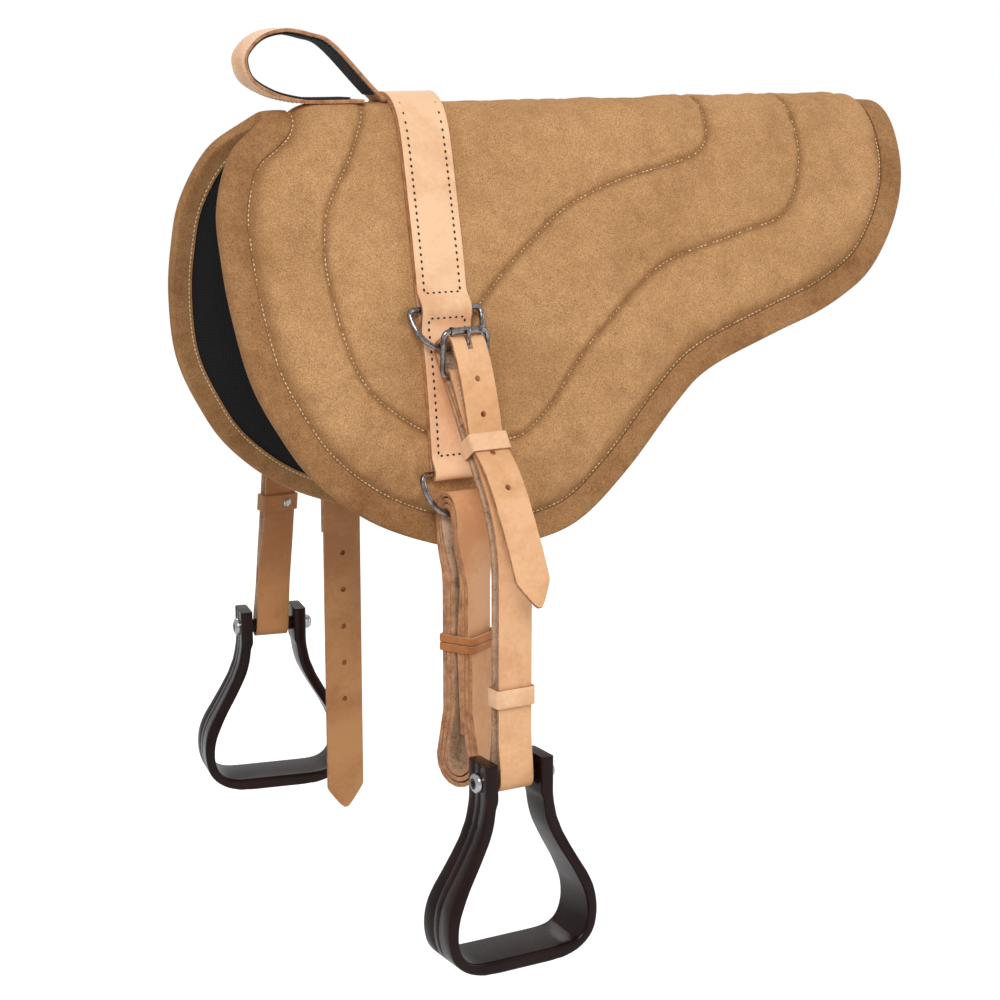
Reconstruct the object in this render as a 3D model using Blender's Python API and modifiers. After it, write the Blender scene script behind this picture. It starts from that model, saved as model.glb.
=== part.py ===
"""Bareback riding pad: a quilted suede pad with a leather rigging strap, a hand strap,
and a stirrup on each side. Metres, +Z up, +X towards the horse's tail, -Y its near side.
The origin lies under the spine of the pad, where the pad rests on the horse's back."""

import math

import bmesh
import bpy
from mathutils import Euler, Matrix, Vector
from mathutils.geometry import area_tri, delaunay_2d_cdt

# Gaps
GAP = 0.0003                 # between pieces that touch
OVERRUN = 0.004              # how far a cutter runs past what it cuts
WELD = 0.00001               # points closer than this are one point

# The pad, cut flat and folded over the spine
PAD_LENGTH = 0.710           # unit for the outline along the spine
FLAP_DEPTH = 0.386           # from the spine seam to the lowest edge, along the flap
LINING = 0.0025
SUEDE = 0.0022
EDGE_FOAM = 0.0030           # foam pressed flat under the binding
LOFT = 0.0100                # how far the foam swells between seams
LOFT_RUN = 0.024             # over this distance from a row of stitching
STITCH_INSET = 0.022         # stitching from the cut edge
CHANNEL_DIP = 0.0036
CHANNEL_HALF = 0.012
CHANNEL_BANK = 0.009         # the faces beside a sewn channel are this wide
SEAM_DIP = 0.0030
SEAM_HALF = 0.012
NET_STEP = 0.080             # largest triangle of the pad's faces
NET_STEP_SPINE = 0.004       # and the smallest, over the sharp bend at the spine
NET_SPREAD = 0.065
LINE_STEP = 0.046

# How the flap slopes: it bends quickly at the spine and slowly lower down
FRONT_SLOPE = math.radians(70)
FRONT_BEND = 0.010
FRONT_DROOP = math.radians(14)
REAR_SLOPE = math.radians(72)
REAR_BEND = 0.045
REAR_DROOP = math.radians(4)
DROOP_START = 0.090
DROOP_END = 0.300
FRONT_SECTION_X = -0.140     # forward of this every section is the front one
REAR_SECTION_X = 0.220
FOLD_STEP = 0.002

# Binding round the edge
BINDING = 0.0014
BINDING_LEAF = 0.020
BINDING_ROLL = 0.0016
BINDING_LIFT = 0.0005        # the under leaf bridges the bends of the lining
BINDING_SLACK = 0.0009       # between the layers' cut ends and the binding's wall

# Rigging strap over the pad
RIG_X = -0.183
RIG_WIDTH = 0.048
RIG_SLANT = 0.012            # at the spine it lies this much further back
RIG_PLY = 0.0032             # two of these, stitched
UPPER_BAR = 0.179            # bar of the upper ring, down the flap from the spine
LOWER_BAR = 0.316
TUNNEL_HALF = 0.016
BAR_CLEARANCE = 0.0004

# Rings
RING_WIRE = 0.0025           # radius
RING_HALF = 0.0345
RING_DEPTH = 0.038
RING_POWER = 2.5             # 2 is an ellipse, more is squarer
UPPER_RING_LEAN = math.radians(30)

# Stirrup leathers
LEATHER = 0.0032
LEATHER_WIDTH = 0.032
PLY_PITCH = 0.0035
EDGE_LIFT = 0.0030           # the bow of a ring climbs this much under a strap's edges
HEEL_DROP = 0.026            # heel bar of the buckle below the ring
HEEL_OFFSET = 0.0013
BULGE = 0.0234               # the free end stands out this far under the roller
CHAPE_END = 0.070
LEATHER_HOLE = 0.0026        # radius
HOLE_DROPS = (0.039, 0.068, 0.102, 0.1365)
TIP_TAPER = 0.0225

# Buckles
BUCKLE_WIRE = 0.0024
BUCKLE_HALF = 0.0210
BUCKLE_CORNER = 0.006
ROLLER_WALL = 0.0010
ROLLER_LENGTH = 0.029
ROLLER_OUT = 0.0254          # from the middle of the ring's bow
ROLLER_RISE = 0.0042
TONGUE_WIRE = 0.0018
TONGUE_TIP = 0.0025

# Keepers
KEEPER = 0.0022
KEEPER_HEIGHT = 0.016
KEEPER_CLEARANCE = 0.0004
RIVET_HEAD = 0.0042
RIVET_HEIGHT = 0.0014

# Stirrups
STIRRUP_HALF_WIDTH = 0.073
STIRRUP_DROP = 0.164         # bolt centre to the underside of the tread
STIRRUP_RISE = 0.018         # bolt centre to the top of the ears
EAR = 0.0118
ARM_DEPTH = 0.034
TREAD_DEPTH = 0.050
STIRRUP_BEVEL = 0.0016
LEATHER_PLAY = 0.005         # leather to ear
BOLT = 0.0040
BOLT_HEAD = 0.0088
BOLT_HEAD_HEIGHT = 0.0042
NUT = 0.0072
NUT_HEIGHT = 0.0085
NUT_WALL = 0.0030
SLEEVE = 0.0068
SLEEVE_WALL = 0.0024

# Latigo and off billet, hung from the lower rings
LATIGO = 0.0035
LATIGO_WIDTH = 0.038
LATIGO_LIFT = 0.0042         # the bow climbs more under a wider strap
HANK_PITCH = 0.0041          # each turn lies this far outside the last
HANK_HALF_TURNS = 6
HANK_LENGTH = 0.209
HANK_ARCH_SHARE = 1.3        # its ends are this much taller than round
HANK_SQUEEZE = 0.0069        # how far the tie draws the runs together
HANK_SAG = 0.0028            # its arches rest on the bow this much lower
HANK_SHIFT = 0.0025          # the hank lies off the ring's middle, away from the pad
HANK_TURN = math.radians(30)
HANK_TURN_RUN = 0.060
TIE = 0.0020
TIE_HEIGHT = 0.015
TIE_DROP = 0.107
BILLET_LENGTH = 0.338
BILLET_RETURN = 0.060
BILLET_FIRST_HOLE = 0.081
BILLET_HOLES = 5
BILLET_PITCH = 0.0365

# Hand strap in front of the rigging strap
HANDLE_PLY = 0.0030
HANDLE_LINING = 0.0018
HANDLE_WIDTH = 0.028
HANDLE_REACH = 0.1305        # unit for its path, from the rigging strap forward
HANDLE_RISE = 0.060          # and up

# The flap's edge, from the spine at the front round to the spine at the rear
OUTLINE_SHARES = (
    (-0.431, 0.000), (-0.485, 0.090), (-0.513, 0.207), (-0.518, 0.324), (-0.515, 0.443),
    (-0.501, 0.583), (-0.471, 0.699), (-0.429, 0.808), (-0.359, 0.909), (-0.275, 0.974),
    (-0.207, 0.999), (-0.138, 0.993), (-0.078, 0.961), (-0.012, 0.865), (0.059, 0.734),
    (0.110, 0.667), (0.208, 0.609), (0.277, 0.572), (0.327, 0.533), (0.370, 0.486),
    (0.407, 0.416), (0.438, 0.334), (0.459, 0.249), (0.471, 0.159), (0.480, 0.073),
    (0.484, 0.000))
FRONT_CHANNEL_SHARES = (
    (-0.306, 0.000), (-0.330, 0.067), (-0.348, 0.123), (-0.371, 0.184), (-0.388, 0.237),
    (-0.396, 0.295), (-0.400, 0.361), (-0.397, 0.426), (-0.390, 0.501), (-0.374, 0.590),
    (-0.344, 0.659), (-0.286, 0.730), (-0.230, 0.755), (-0.173, 0.759), (-0.147, 0.743),
    (-0.113, 0.690), (-0.076, 0.610), (-0.041, 0.550), (0.034, 0.442), (0.085, 0.403),
    (0.144, 0.384), (0.187, 0.367), (0.232, 0.351), (0.260, 0.311), (0.279, 0.258),
    (0.294, 0.190), (0.303, 0.124), (0.313, 0.045), (0.315, 0.000))
REAR_CHANNEL_SHARES = (
    (-0.235, 0.520), (-0.202, 0.458), (-0.156, 0.382), (-0.111, 0.319), (-0.066, 0.262),
    (-0.015, 0.226), (0.035, 0.205), (0.103, 0.188), (0.139, 0.171), (0.159, 0.135),
    (0.168, 0.092), (0.177, 0.040), (0.179, 0.000))

# The point of a strap: back from the tip in tapers, across in half widths
TIP_SHARES = ((0.00, 0.10), (0.15, 0.30), (0.50, 0.62), (0.85, 0.93), (1.00, 1.00))

# Half of a stirrup, from below the ear round to the middle of the tread:
# across in half widths, down in drops from the bolt
STIRRUP_OUTER_SHARES = (
    (0.462, 0.140), (0.499, 0.220), (0.577, 0.309), (0.682, 0.396), (0.796, 0.484),
    (0.897, 0.561), (0.967, 0.634), (0.999, 0.713), (0.995, 0.793), (0.949, 0.874),
    (0.856, 0.930), (0.719, 0.971), (0.548, 0.994), (0.342, 1.000))
STIRRUP_INNER_SHARES = (
    (0.315, 0.122), (0.342, 0.201), (0.388, 0.274), (0.459, 0.341), (0.542, 0.409),
    (0.621, 0.468), (0.701, 0.529), (0.786, 0.605), (0.842, 0.666), (0.871, 0.732),
    (0.868, 0.799), (0.814, 0.867), (0.712, 0.907), (0.575, 0.923), (0.384, 0.926))

# Hand strap: forward of the rigging strap in reaches, above the pad in rises
HANDLE_SHARES = (
    (0.016, 0.000), (0.130, 0.235), (0.400, 0.810), (0.564, 0.945), (0.730, 1.000),
    (0.890, 0.920), (1.000, 0.700), (1.010, 0.500), (0.960, 0.290), (0.810, 0.110),
    (0.640, 0.020), (0.500, 0.000), (0.170, 0.000))

# The free end of the near leather curls away from the plies behind it: down its run,
# and out
FLARE_SHARES = (
    (0.000, 0.000), (0.060, 0.070), (0.160, 0.145), (0.310, 0.190), (0.460, 0.235),
    (0.590, 0.332), (0.720, 0.495), (0.840, 0.675), (1.000, 1.000))

# How each stirrup leather hangs: the near one leans out further down than the off one
SIDES = {
    "near": {"sign": -1, "lean": math.radians(35.2), "lean_end": 0.118, "plumb_start": 0.224,
             "drift": -0.001, "turn": 0.0, "bolt_drop": 0.382, "tip_drop": 0.224,
             "upper_keeper": 0.092, "lower_keeper": 0.310, "flare": 0.037,
             "lower_ring_lean": math.radians(20)},
    "off": {"sign": 1, "lean": math.radians(52), "lean_end": 0.105, "plumb_start": 0.180,
            "drift": -0.029, "turn": -math.radians(12), "bolt_drop": 0.368, "tip_drop": 0.214,
            "upper_keeper": 0.092, "lower_keeper": 0.243, "flare": 0.0,
            "lower_ring_lean": math.radians(8)},
}
TURN_START = 0.256
TURN_END = 0.322
BEND_CUT = 0.020             # spacing of the cuts across a leather where it bends
LOOP_RUN = 0.042             # how far above the bolt the leather opens out for the sleeve

COLOURS = {
    "suede": ((0.42, 0.25, 0.11, 1), 0.95, 0.0),
    "suede_binding": ((0.33, 0.18, 0.07, 1), 0.9, 0.0),
    "foam": ((0.80, 0.74, 0.55, 1), 0.9, 0.0),
    "lining": ((0.015, 0.015, 0.017, 1), 0.95, 0.0),
    "leather": ((0.80, 0.50, 0.29, 1), 0.45, 0.0),
    "latigo": ((0.70, 0.40, 0.20, 1), 0.5, 0.0),
    "lace": ((0.22, 0.08, 0.02, 1), 0.5, 0.0),
    "webbing": ((0.02, 0.02, 0.022, 1), 0.8, 0.0),
    "nickel": ((0.30, 0.29, 0.29, 1), 0.28, 1.0),
    "steel": ((0.62, 0.62, 0.62, 1), 0.25, 1.0),
    "plastic": ((0.025, 0.010, 0.010, 1), 0.3, 0.0),
}

# Worked out from the sizes above
EDGE_HEIGHT = LINING + EDGE_FOAM + SUEDE + 2 * GAP
TOP_HEIGHT = EDGE_HEIGHT + LOFT
RIG_INNER = TOP_HEIGHT + GAP
RIG_OUTER = RIG_INNER + 2 * RIG_PLY
BAR_BORE = RING_WIRE + BAR_CLEARANCE
BAR_HEIGHT = RIG_INNER + RIG_PLY + BAR_BORE
TUNNEL_OUTER = BAR_HEIGHT + BAR_BORE + RIG_PLY
EAR_GAP_HALF = LEATHER_WIDTH / 2 + LEATHER_PLAY

parts = None
cutters = None
materials = {}


# Plain geometry

def smooth(t):
    """0 below 0, 1 above 1, and an even rise between."""
    t = min(max(t, 0.0), 1.0)
    return t * t * (3 - 2 * t)


def mix(a, b, t):
    return a + (b - a) * t


def spline_through(points, steps, closed=False):
    """A smooth line through the points, with steps to each span."""
    count = len(points)
    line = []
    for i in range(count if closed else count - 1):
        if closed:
            four = [points[(i + k) % count] for k in (-1, 0, 1, 2)]
        else:
            four = [points[min(max(i + k, 0), count - 1)] for k in (-1, 0, 1, 2)]
        for j in range(steps):
            t = j / steps
            line.append(tuple(
                0.5 * (2 * b + (c - a) * t + (2 * a - 5 * b + 4 * c - d) * t ** 2
                       + (3 * b - a - 3 * c + d) * t ** 3)
                for a, b, c, d in zip(*four)))
    if not closed:
        line.append(tuple(points[-1]))
    return line


def arc(centre, radius, start, end, steps):
    """Points on a round stretch, angles from the first axis towards the second."""
    return [(centre[0] + radius * math.cos(mix(start, end, i / steps)),
             centre[1] + radius * math.sin(mix(start, end, i / steps)))
            for i in range(steps + 1)]


def shifted(path, distance):
    """A line moved sideways, to the left of its run."""
    moved = []
    for i, (a, b) in enumerate(path):
        before = Vector(path[max(i - 1, 0)])
        after = Vector(path[min(i + 1, len(path) - 1)])
        along = (after - before).normalized()
        moved.append((a - along.y * distance, b + along.x * distance))
    return moved


def distance_to_line(x, s, line):
    """Shortest distance from a point to a line of points."""
    best = None
    for (ax, ay), (bx, by) in zip(line, line[1:]):
        dx, dy = bx - ax, by - ay
        t = ((x - ax) * dx + (s - ay) * dy) / (dx * dx + dy * dy)
        t = min(max(t, 0.0), 1.0)
        gap = math.hypot(x - ax - dx * t, s - ay - dy * t)
        best = gap if best is None else min(best, gap)
    return best


# Objects

def material_named(name):
    if name not in materials:
        colour, roughness, metallic = COLOURS[name]
        material = bpy.data.materials.new(name)
        material.use_nodes = True
        shader = material.node_tree.nodes["Principled BSDF"]
        shader.inputs["Base Color"].default_value = colour
        shader.inputs["Roughness"].default_value = roughness
        shader.inputs["Metallic"].default_value = metallic
        material.diffuse_color = colour
        materials[name] = material
    return materials[name]


def add_object(name, data, collection):
    thing = bpy.data.objects.new(name, data)
    collection.objects.link(thing)
    return thing


def finish(thing, name, colour, sharp=math.radians(40)):
    """Names a piece, gives it its own material and smooths its round faces."""
    thing.name = name
    thing.data.name = name
    own = material_named(colour).copy()
    own.name = name + "_" + colour
    thing.data.materials.clear()
    thing.data.materials.append(own)
    thing.data.shade_smooth()
    thing.data.set_sharp_from_angle(angle=sharp)
    return thing


def mesh_from(thing):
    """What the viewport shows of an object, as a mesh of its own."""
    depsgraph = bpy.context.evaluated_depsgraph_get()
    depsgraph.update()
    return bpy.data.meshes.new_from_object(thing.evaluated_get(depsgraph))


def face_outwards(work):
    bmesh.ops.recalc_face_normals(work, faces=work.faces)
    if work.calc_volume(signed=True) < 0:
        bmesh.ops.reverse_faces(work, faces=work.faces)


def settle(mesh):
    """Welds doubled points and turns every face outwards."""
    work = bmesh.new()
    work.from_mesh(mesh)
    bmesh.ops.remove_doubles(work, verts=work.verts, dist=WELD)
    face_outwards(work)
    work.to_mesh(mesh)
    work.free()
    return mesh


def curve_to_piece(name, curve, collection):
    holder = add_object(name, curve, collection)
    mesh = settle(mesh_from(holder))
    bpy.data.objects.remove(holder)
    return add_object(name, mesh, collection)


def flat_piece(name, loops, thickness, collection=None):
    """A flat outline, with any holes, and half the thickness to each side."""
    curve = bpy.data.curves.new(name, "CURVE")
    curve.dimensions = "2D"
    curve.fill_mode = "BOTH"
    curve.extrude = thickness / 2
    for loop in loops:
        spline = curve.splines.new("POLY")
        spline.points.add(len(loop) - 1)
        for point, (a, b) in zip(spline.points, loop):
            point.co = (a, b, 0, 1)
        spline.use_cyclic_u = True
    return curve_to_piece(name, curve, collection or parts)


def strap_piece(name, path, thickness, width):
    """A strap: a strip of faces seen on edge along its middle line, drawn out to its width."""
    work = bmesh.new()
    lines = [[work.verts.new((a, b, -width / 2)) for a, b in shifted(path, hand * thickness / 2)]
             for hand in (1, -1)]
    spans = zip(lines[0], lines[0][1:], lines[1][1:], lines[1])
    strip = [work.faces.new(corners) for corners in spans]
    grown = bmesh.ops.extrude_face_region(work, geom=strip, use_keep_orig=True)
    far_side = [item for item in grown["geom"] if isinstance(item, bmesh.types.BMVert)]
    bmesh.ops.translate(work, verts=far_side, vec=(0, 0, width))
    face_outwards(work)
    mesh = bpy.data.meshes.new(name)
    work.to_mesh(mesh)
    work.free()
    return add_object(name, mesh, parts)


def wire(name, points, radius, closed, resolution=2):
    """A round wire along the points."""
    curve = bpy.data.curves.new(name, "CURVE")
    curve.dimensions = "3D"
    curve.bevel_depth = radius
    curve.bevel_resolution = resolution
    curve.use_fill_caps = not closed
    spline = curve.splines.new("POLY")
    spline.points.add(len(points) - 1)
    for point, place in zip(spline.points, points):
        point.co = (*place, 1)
    spline.use_cyclic_u = closed
    return curve_to_piece(name, curve, parts)


def turned(name, profile, steps, closed=False):
    """A profile of radius and height turned about X."""
    work = bmesh.new()
    ends = [work.verts.new((height, radius, 0)) for radius, height in profile]
    following = ends[1:] + (ends[:1] if closed else [])
    edges = [work.edges.new(pair) for pair in zip(ends, following)]
    bmesh.ops.spin(work, geom=ends + edges, cent=(0, 0, 0), axis=(1, 0, 0),
                   angle=math.tau, steps=steps, use_merge=True)
    mesh = bpy.data.meshes.new(name)
    bmesh.ops.remove_doubles(work, verts=work.verts, dist=WELD)
    bmesh.ops.dissolve_degenerate(work, edges=work.edges, dist=WELD)
    bmesh.ops.recalc_face_normals(work, faces=work.faces)
    work.to_mesh(mesh)
    work.free()
    return add_object(name, mesh, parts)


def cut(thing, cutter):
    """Cuts a piece for good, so that it can be bent afterwards."""
    cutter.hide_render = True
    cutter.display_type = "WIRE"
    boolean = thing.modifiers.new("cut", "BOOLEAN")
    boolean.object = cutter
    boolean.operation = "DIFFERENCE"
    boolean.solver = "EXACT"
    mesh = settle(mesh_from(thing))
    thing.modifiers.clear()
    thing.data = mesh
    cutter.hide_viewport = True


def box_cutter(name, low, high):
    work = bmesh.new()
    bmesh.ops.create_cube(work, size=1)
    for vert in work.verts:
        vert.co = Vector(mix(low[k], high[k], vert.co[k] + 0.5) for k in range(3))
    mesh = bpy.data.meshes.new(name)
    work.to_mesh(mesh)
    work.free()
    return add_object(name, mesh, cutters)


def peg_cutter(name, radius, centre, direction, length, sides=12):
    work = bmesh.new()
    bmesh.ops.create_cone(work, cap_ends=True, segments=sides, radius1=radius,
                          radius2=radius, depth=length)
    turn = Vector((0, 0, 1)).rotation_difference(Vector(direction)).to_matrix().to_4x4()
    bmesh.ops.transform(work, matrix=Matrix.Translation(centre) @ turn, verts=work.verts)
    mesh = bpy.data.meshes.new(name)
    work.to_mesh(mesh)
    work.free()
    return add_object(name, mesh, cutters)


def set_origin(thing, place):
    """Moves a piece's origin to its joint, and leaves the piece where it is."""
    shift = Vector(place)
    thing.data.transform(Matrix.Translation(-shift))
    thing.location = shift


# The pad's folded shape

def section_share(x):
    return smooth((x - FRONT_SECTION_X) / (REAR_SECTION_X - FRONT_SECTION_X))


def slope(x, s):
    """Angle of the flap below level, s down it from the spine."""
    share = section_share(x)
    bend = mix(FRONT_BEND, REAR_BEND, share)
    droop = mix(FRONT_DROOP, REAR_DROOP, share)
    return (mix(FRONT_SLOPE, REAR_SLOPE, share) * (1 - math.exp(-s / bend))
            + droop * smooth((s - DROOP_START) / (DROOP_END - DROOP_START)))


def fold(x, s, height):
    """How far out and up a point of the flat pattern lies once it is folded."""
    out = up = 0.0
    run = abs(s)
    steps = max(8, int(run / FOLD_STEP))
    for i in range(steps):
        angle = slope(x, run * (i + 0.5) / steps)
        out += math.cos(angle) * run / steps
        up -= math.sin(angle) * run / steps
    angle = slope(x, run)
    return out + height * math.sin(angle), up + height * math.cos(angle)


def pad_point(x, s, height):
    """A point of the flat pattern on the folded pad; negative s is the near side."""
    out, up = fold(x, s, height)
    return Vector((x, math.copysign(out, s), up))


def pattern_line(shares):
    return [(x * PAD_LENGTH, s * FLAP_DEPTH) for x, s in shares]


def local_step(s, coarse):
    """Spacing that is fine over the sharp bend at the spine."""
    return mix(NET_STEP_SPINE, coarse, smooth(abs(s) / NET_SPREAD))


def resample(line, coarse):
    """Even points along a line, closer together near the spine."""
    reach = [0.0]
    for (ax, ay), (bx, by) in zip(line, line[1:]):
        reach.append(reach[-1] + math.hypot(bx - ax, by - ay)
                     / local_step((ay + by) / 2, coarse))
    count = max(2, round(reach[-1]))
    points = []
    k = 0
    for i in range(count + 1):
        target = reach[-1] * i / count
        while k < len(line) - 2 and reach[k + 1] < target:
            k += 1
        t = (target - reach[k]) / (reach[k + 1] - reach[k])
        points.append(tuple(mix(a, b, min(t, 1.0)) for a, b in zip(line[k], line[k + 1])))
    return points


def flap_edge():
    """The cut edge of the near half, square to the spine at both ends."""
    half = pattern_line(OUTLINE_SHARES)
    mirrored = [(x, -s) for x, s in half[1:3]][::-1]
    rear = [(x, -s) for x, s in half[-3:-1]][::-1]
    steps = 8
    fine = spline_through(mirrored + half + rear, steps)
    return fine[2 * steps:len(fine) - 2 * steps]


def inset(line, distance):
    """The line moved inwards from the cut edge."""
    moved = []
    for i, (x, s) in enumerate(line):
        before = line[max(i - 1, 0)]
        after = line[min(i + 1, len(line) - 1)]
        if i == 0:
            before = (after[0], -after[1])
        if i == len(line) - 1:
            after = (before[0], -before[1])
        along = Vector((after[0] - before[0], after[1] - before[1])).normalized()
        moved.append((x - distance * -along.y, s - distance * along.x))
    return moved


EDGE = flap_edge()
FRONT_CHANNEL = spline_through(pattern_line(FRONT_CHANNEL_SHARES), 3)
REAR_CHANNEL = spline_through(pattern_line(REAR_CHANNEL_SHARES), 3)


def top_height(x, s):
    """Outer face of the suede above the pad's underside."""
    s = abs(s)
    t = min(max((distance_to_line(x, s, EDGE) - STITCH_INSET) / LOFT_RUN, 0.0), 1.0)
    rise = LOFT * (1 - (1 - t) ** 2)
    near = min(distance_to_line(x, s, line) for line in (FRONT_CHANNEL, REAR_CHANNEL))
    dip = CHANNEL_DIP * max(0.0, 1 - near / CHANNEL_HALF) ** 2
    dip = max(dip, SEAM_DIP * max(0.0, 1 - s / SEAM_HALF) ** 2)
    return EDGE_HEIGHT + rise - min(dip, rise)


def rows_down():
    """Distances from the spine at which the flat net has rows."""
    rows = [0.0]
    while rows[-1] < FLAP_DEPTH:
        rows.append(rows[-1] + local_step(rows[-1], NET_STEP))
    return rows


def beside(line, distance):
    """Points to one side of a channel, none of them past the spine or near the edge."""
    return [(x, s) for x, s in shifted(line, distance)
            if s > NET_STEP_SPINE and distance_to_line(x, s, EDGE) > STITCH_INSET + LOFT_RUN]


def half_net():
    """Points and triangles of the flat pattern, from the spine to the near edge."""
    edge = resample(EDGE, LINE_STEP)
    stitching = inset(edge, STITCH_INSET)
    stitching[0] = (stitching[0][0], 0.0)
    stitching[-1] = (stitching[-1][0], 0.0)
    crown = [p for p in inset(edge, STITCH_INSET + LOFT_RUN) if p[1] > NET_STEP_SPINE]
    full = STITCH_INSET + LOFT_RUN
    crown = [(edge[0][0] + full, 0.0)] + crown + [(edge[-1][0] - full, 0.0)]
    lines = [stitching, crown]
    for channel in (FRONT_CHANNEL, REAR_CHANNEL):
        middle = resample(channel, LINE_STEP)
        lines += [middle, beside(middle, CHANNEL_BANK), beside(middle, -CHANNEL_BANK)]
    points, edges = list(edge), []
    spine_start, spine_end = edge[-1][0], edge[0][0]
    columns = round((spine_start - spine_end) / NET_STEP)
    loop = list(range(len(edge)))
    for i in range(1, columns):
        loop.append(len(points))
        points.append((mix(spine_start, spine_end, i / columns), 0.0))
    for line in lines:
        first = len(points)
        points.extend(line)
        edges.extend((first + i, first + i + 1) for i in range(len(line) - 1))
    taken = list(points)
    for s in rows_down()[1:]:
        step = local_step(s, NET_STEP)
        for i in range(1, columns):
            x = mix(spine_start, spine_end, i / columns)
            clear = min(math.hypot((x - a) * step / NET_STEP, s - b) for a, b in taken)
            inside = distance_to_line(x, s, EDGE) > STITCH_INSET and within(x, s, edge)
            if inside and clear > step * 0.45:
                points.append((x, s))
    flat, _, faces, *_ = delaunay_2d_cdt([Vector(p) for p in points], edges, [loop], 1, WELD)
    least = WELD * NET_STEP_SPINE
    faces = [tuple(f) for f in faces if area_tri(*(flat[i] for i in f)) > least]
    return [tuple(p) for p in flat], faces


def within(x, s, edge):
    """Whether a point lies within the flap's outline."""
    inside = False
    for (ax, ay), (bx, by) in zip(edge, edge[1:]):
        if (ay > s) != (by > s) and x < ax + (bx - ax) * (s - ay) / (by - ay):
            inside = not inside
    return inside


def pad_layer(name, colour, net, low, high, sides):
    """One layer of the pad: the flat net given a thickness, then folded over the spine."""
    flat, faces = net
    work = bmesh.new()
    for side in sides:
        spread = [work.verts.new((x, side * s, 0)) for x, s in flat]
        for face in faces:
            work.faces.new([spread[i] for i in face])
    bmesh.ops.remove_doubles(work, verts=work.verts, dist=WELD)
    grown = bmesh.ops.extrude_face_region(work, geom=list(work.faces), use_keep_orig=True)
    upper = {item for item in grown["geom"] if isinstance(item, bmesh.types.BMVert)}
    heights = {}
    for vert in work.verts:
        x, s = vert.co.x, vert.co.y
        key = (round(x / WELD), round(abs(s) / WELD))
        if key not in heights:
            heights[key] = top_height(x, s)
        if len(sides) == 1:
            s = sides[0] * max(abs(s), GAP / 2)
        height = high(heights[key]) if vert in upper else low(heights[key])
        vert.co = pad_point(x, s, height)
    bmesh.ops.recalc_face_normals(work, faces=work.faces)
    mesh = bpy.data.meshes.new(name)
    work.to_mesh(mesh)
    work.free()
    return finish(add_object(name, mesh, parts), name, colour, math.radians(60))


def build_pad():
    net = half_net()
    pad_layer("lining", "lining", net, lambda top: 0.0, lambda top: LINING, (-1, 1))
    pad_layer("foam_core", "foam", net, lambda top: LINING + GAP,
              lambda top: top - SUEDE - GAP, (-1, 1))
    for name, side in (("suede_cover_near", -1), ("suede_cover_off", 1)):
        pad_layer(name, "suede", net, lambda top: top - SUEDE, lambda top: top, (side,))


def build_binding():
    """Suede folded over the cut edge, all the way round."""
    half = resample(EDGE, LINE_STEP)
    edge = [(x, -s) for x, s in half] + [(x, s) for x, s in half[-2:0:-1]]
    top, under = EDGE_HEIGHT + GAP, -BINDING_LIFT
    wall = -BINDING_SLACK
    profile = ((BINDING_LEAF, top), (BINDING_LEAF, top + BINDING),
               (wall - BINDING, top + BINDING),
               (wall - BINDING - BINDING_ROLL, (top + under) / 2),
               (wall - BINDING, under - BINDING), (BINDING_LEAF, under - BINDING),
               (BINDING_LEAF, under), (wall, under), (wall, top))
    work = bmesh.new()
    rings = []
    for i, (x, s) in enumerate(edge):
        before, after = edge[i - 1], edge[(i + 1) % len(edge)]
        along = Vector((after[0] - before[0], after[1] - before[1])).normalized()
        ring = []
        for inwards, height in profile:
            px, ps = x + inwards * -along.y, s + inwards * along.x
            ring.append(work.verts.new(pad_point(px, ps, height)))
        rings.append(ring)
    for ring, after in zip(rings, rings[1:] + rings[:1]):
        for k in range(len(profile)):
            j = (k + 1) % len(profile)
            work.faces.new((ring[k], ring[j], after[j], after[k]))
    bmesh.ops.triangulate(work, faces=work.faces)
    bmesh.ops.recalc_face_normals(work, faces=work.faces)
    mesh = bpy.data.meshes.new("edge_binding")
    work.to_mesh(mesh)
    work.free()
    finish(add_object("edge_binding", mesh, parts), "edge_binding", "suede_binding")


# The rigging strap and its rings

def rig_stations():
    """Distances from the spine at which the strap's outline has points."""
    fine, rough = 0.0018, 0.016
    stations = [0.0]
    while stations[-1] < LOWER_BAR:
        stations.append(stations[-1] + mix(fine, rough, smooth(stations[-1] / NET_SPREAD)))
    stations = [s for s in stations if s < LOWER_BAR - TUNNEL_HALF]
    for bar in (UPPER_BAR, LOWER_BAR):
        stations = [s for s in stations if abs(s - bar) > TUNNEL_HALF]
    tunnel = [UPPER_BAR + TUNNEL_HALF * k / 4 for k in range(-4, 5)]
    end = [LOWER_BAR - TUNNEL_HALF * k / 4 for k in (4, 3, 2, 1)]
    return sorted(stations + tunnel + end)


def rig_outer(s):
    """Outer face of the strap, raised over the bars of the rings."""
    near = min(abs(s - UPPER_BAR), abs(s - LOWER_BAR))
    return RIG_OUTER + (TUNNEL_OUTER - RIG_OUTER) * (1 - smooth(near / TUNNEL_HALF))


def bar_centre(side, bar):
    return pad_point(RIG_X, side * bar, BAR_HEIGHT)


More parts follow.
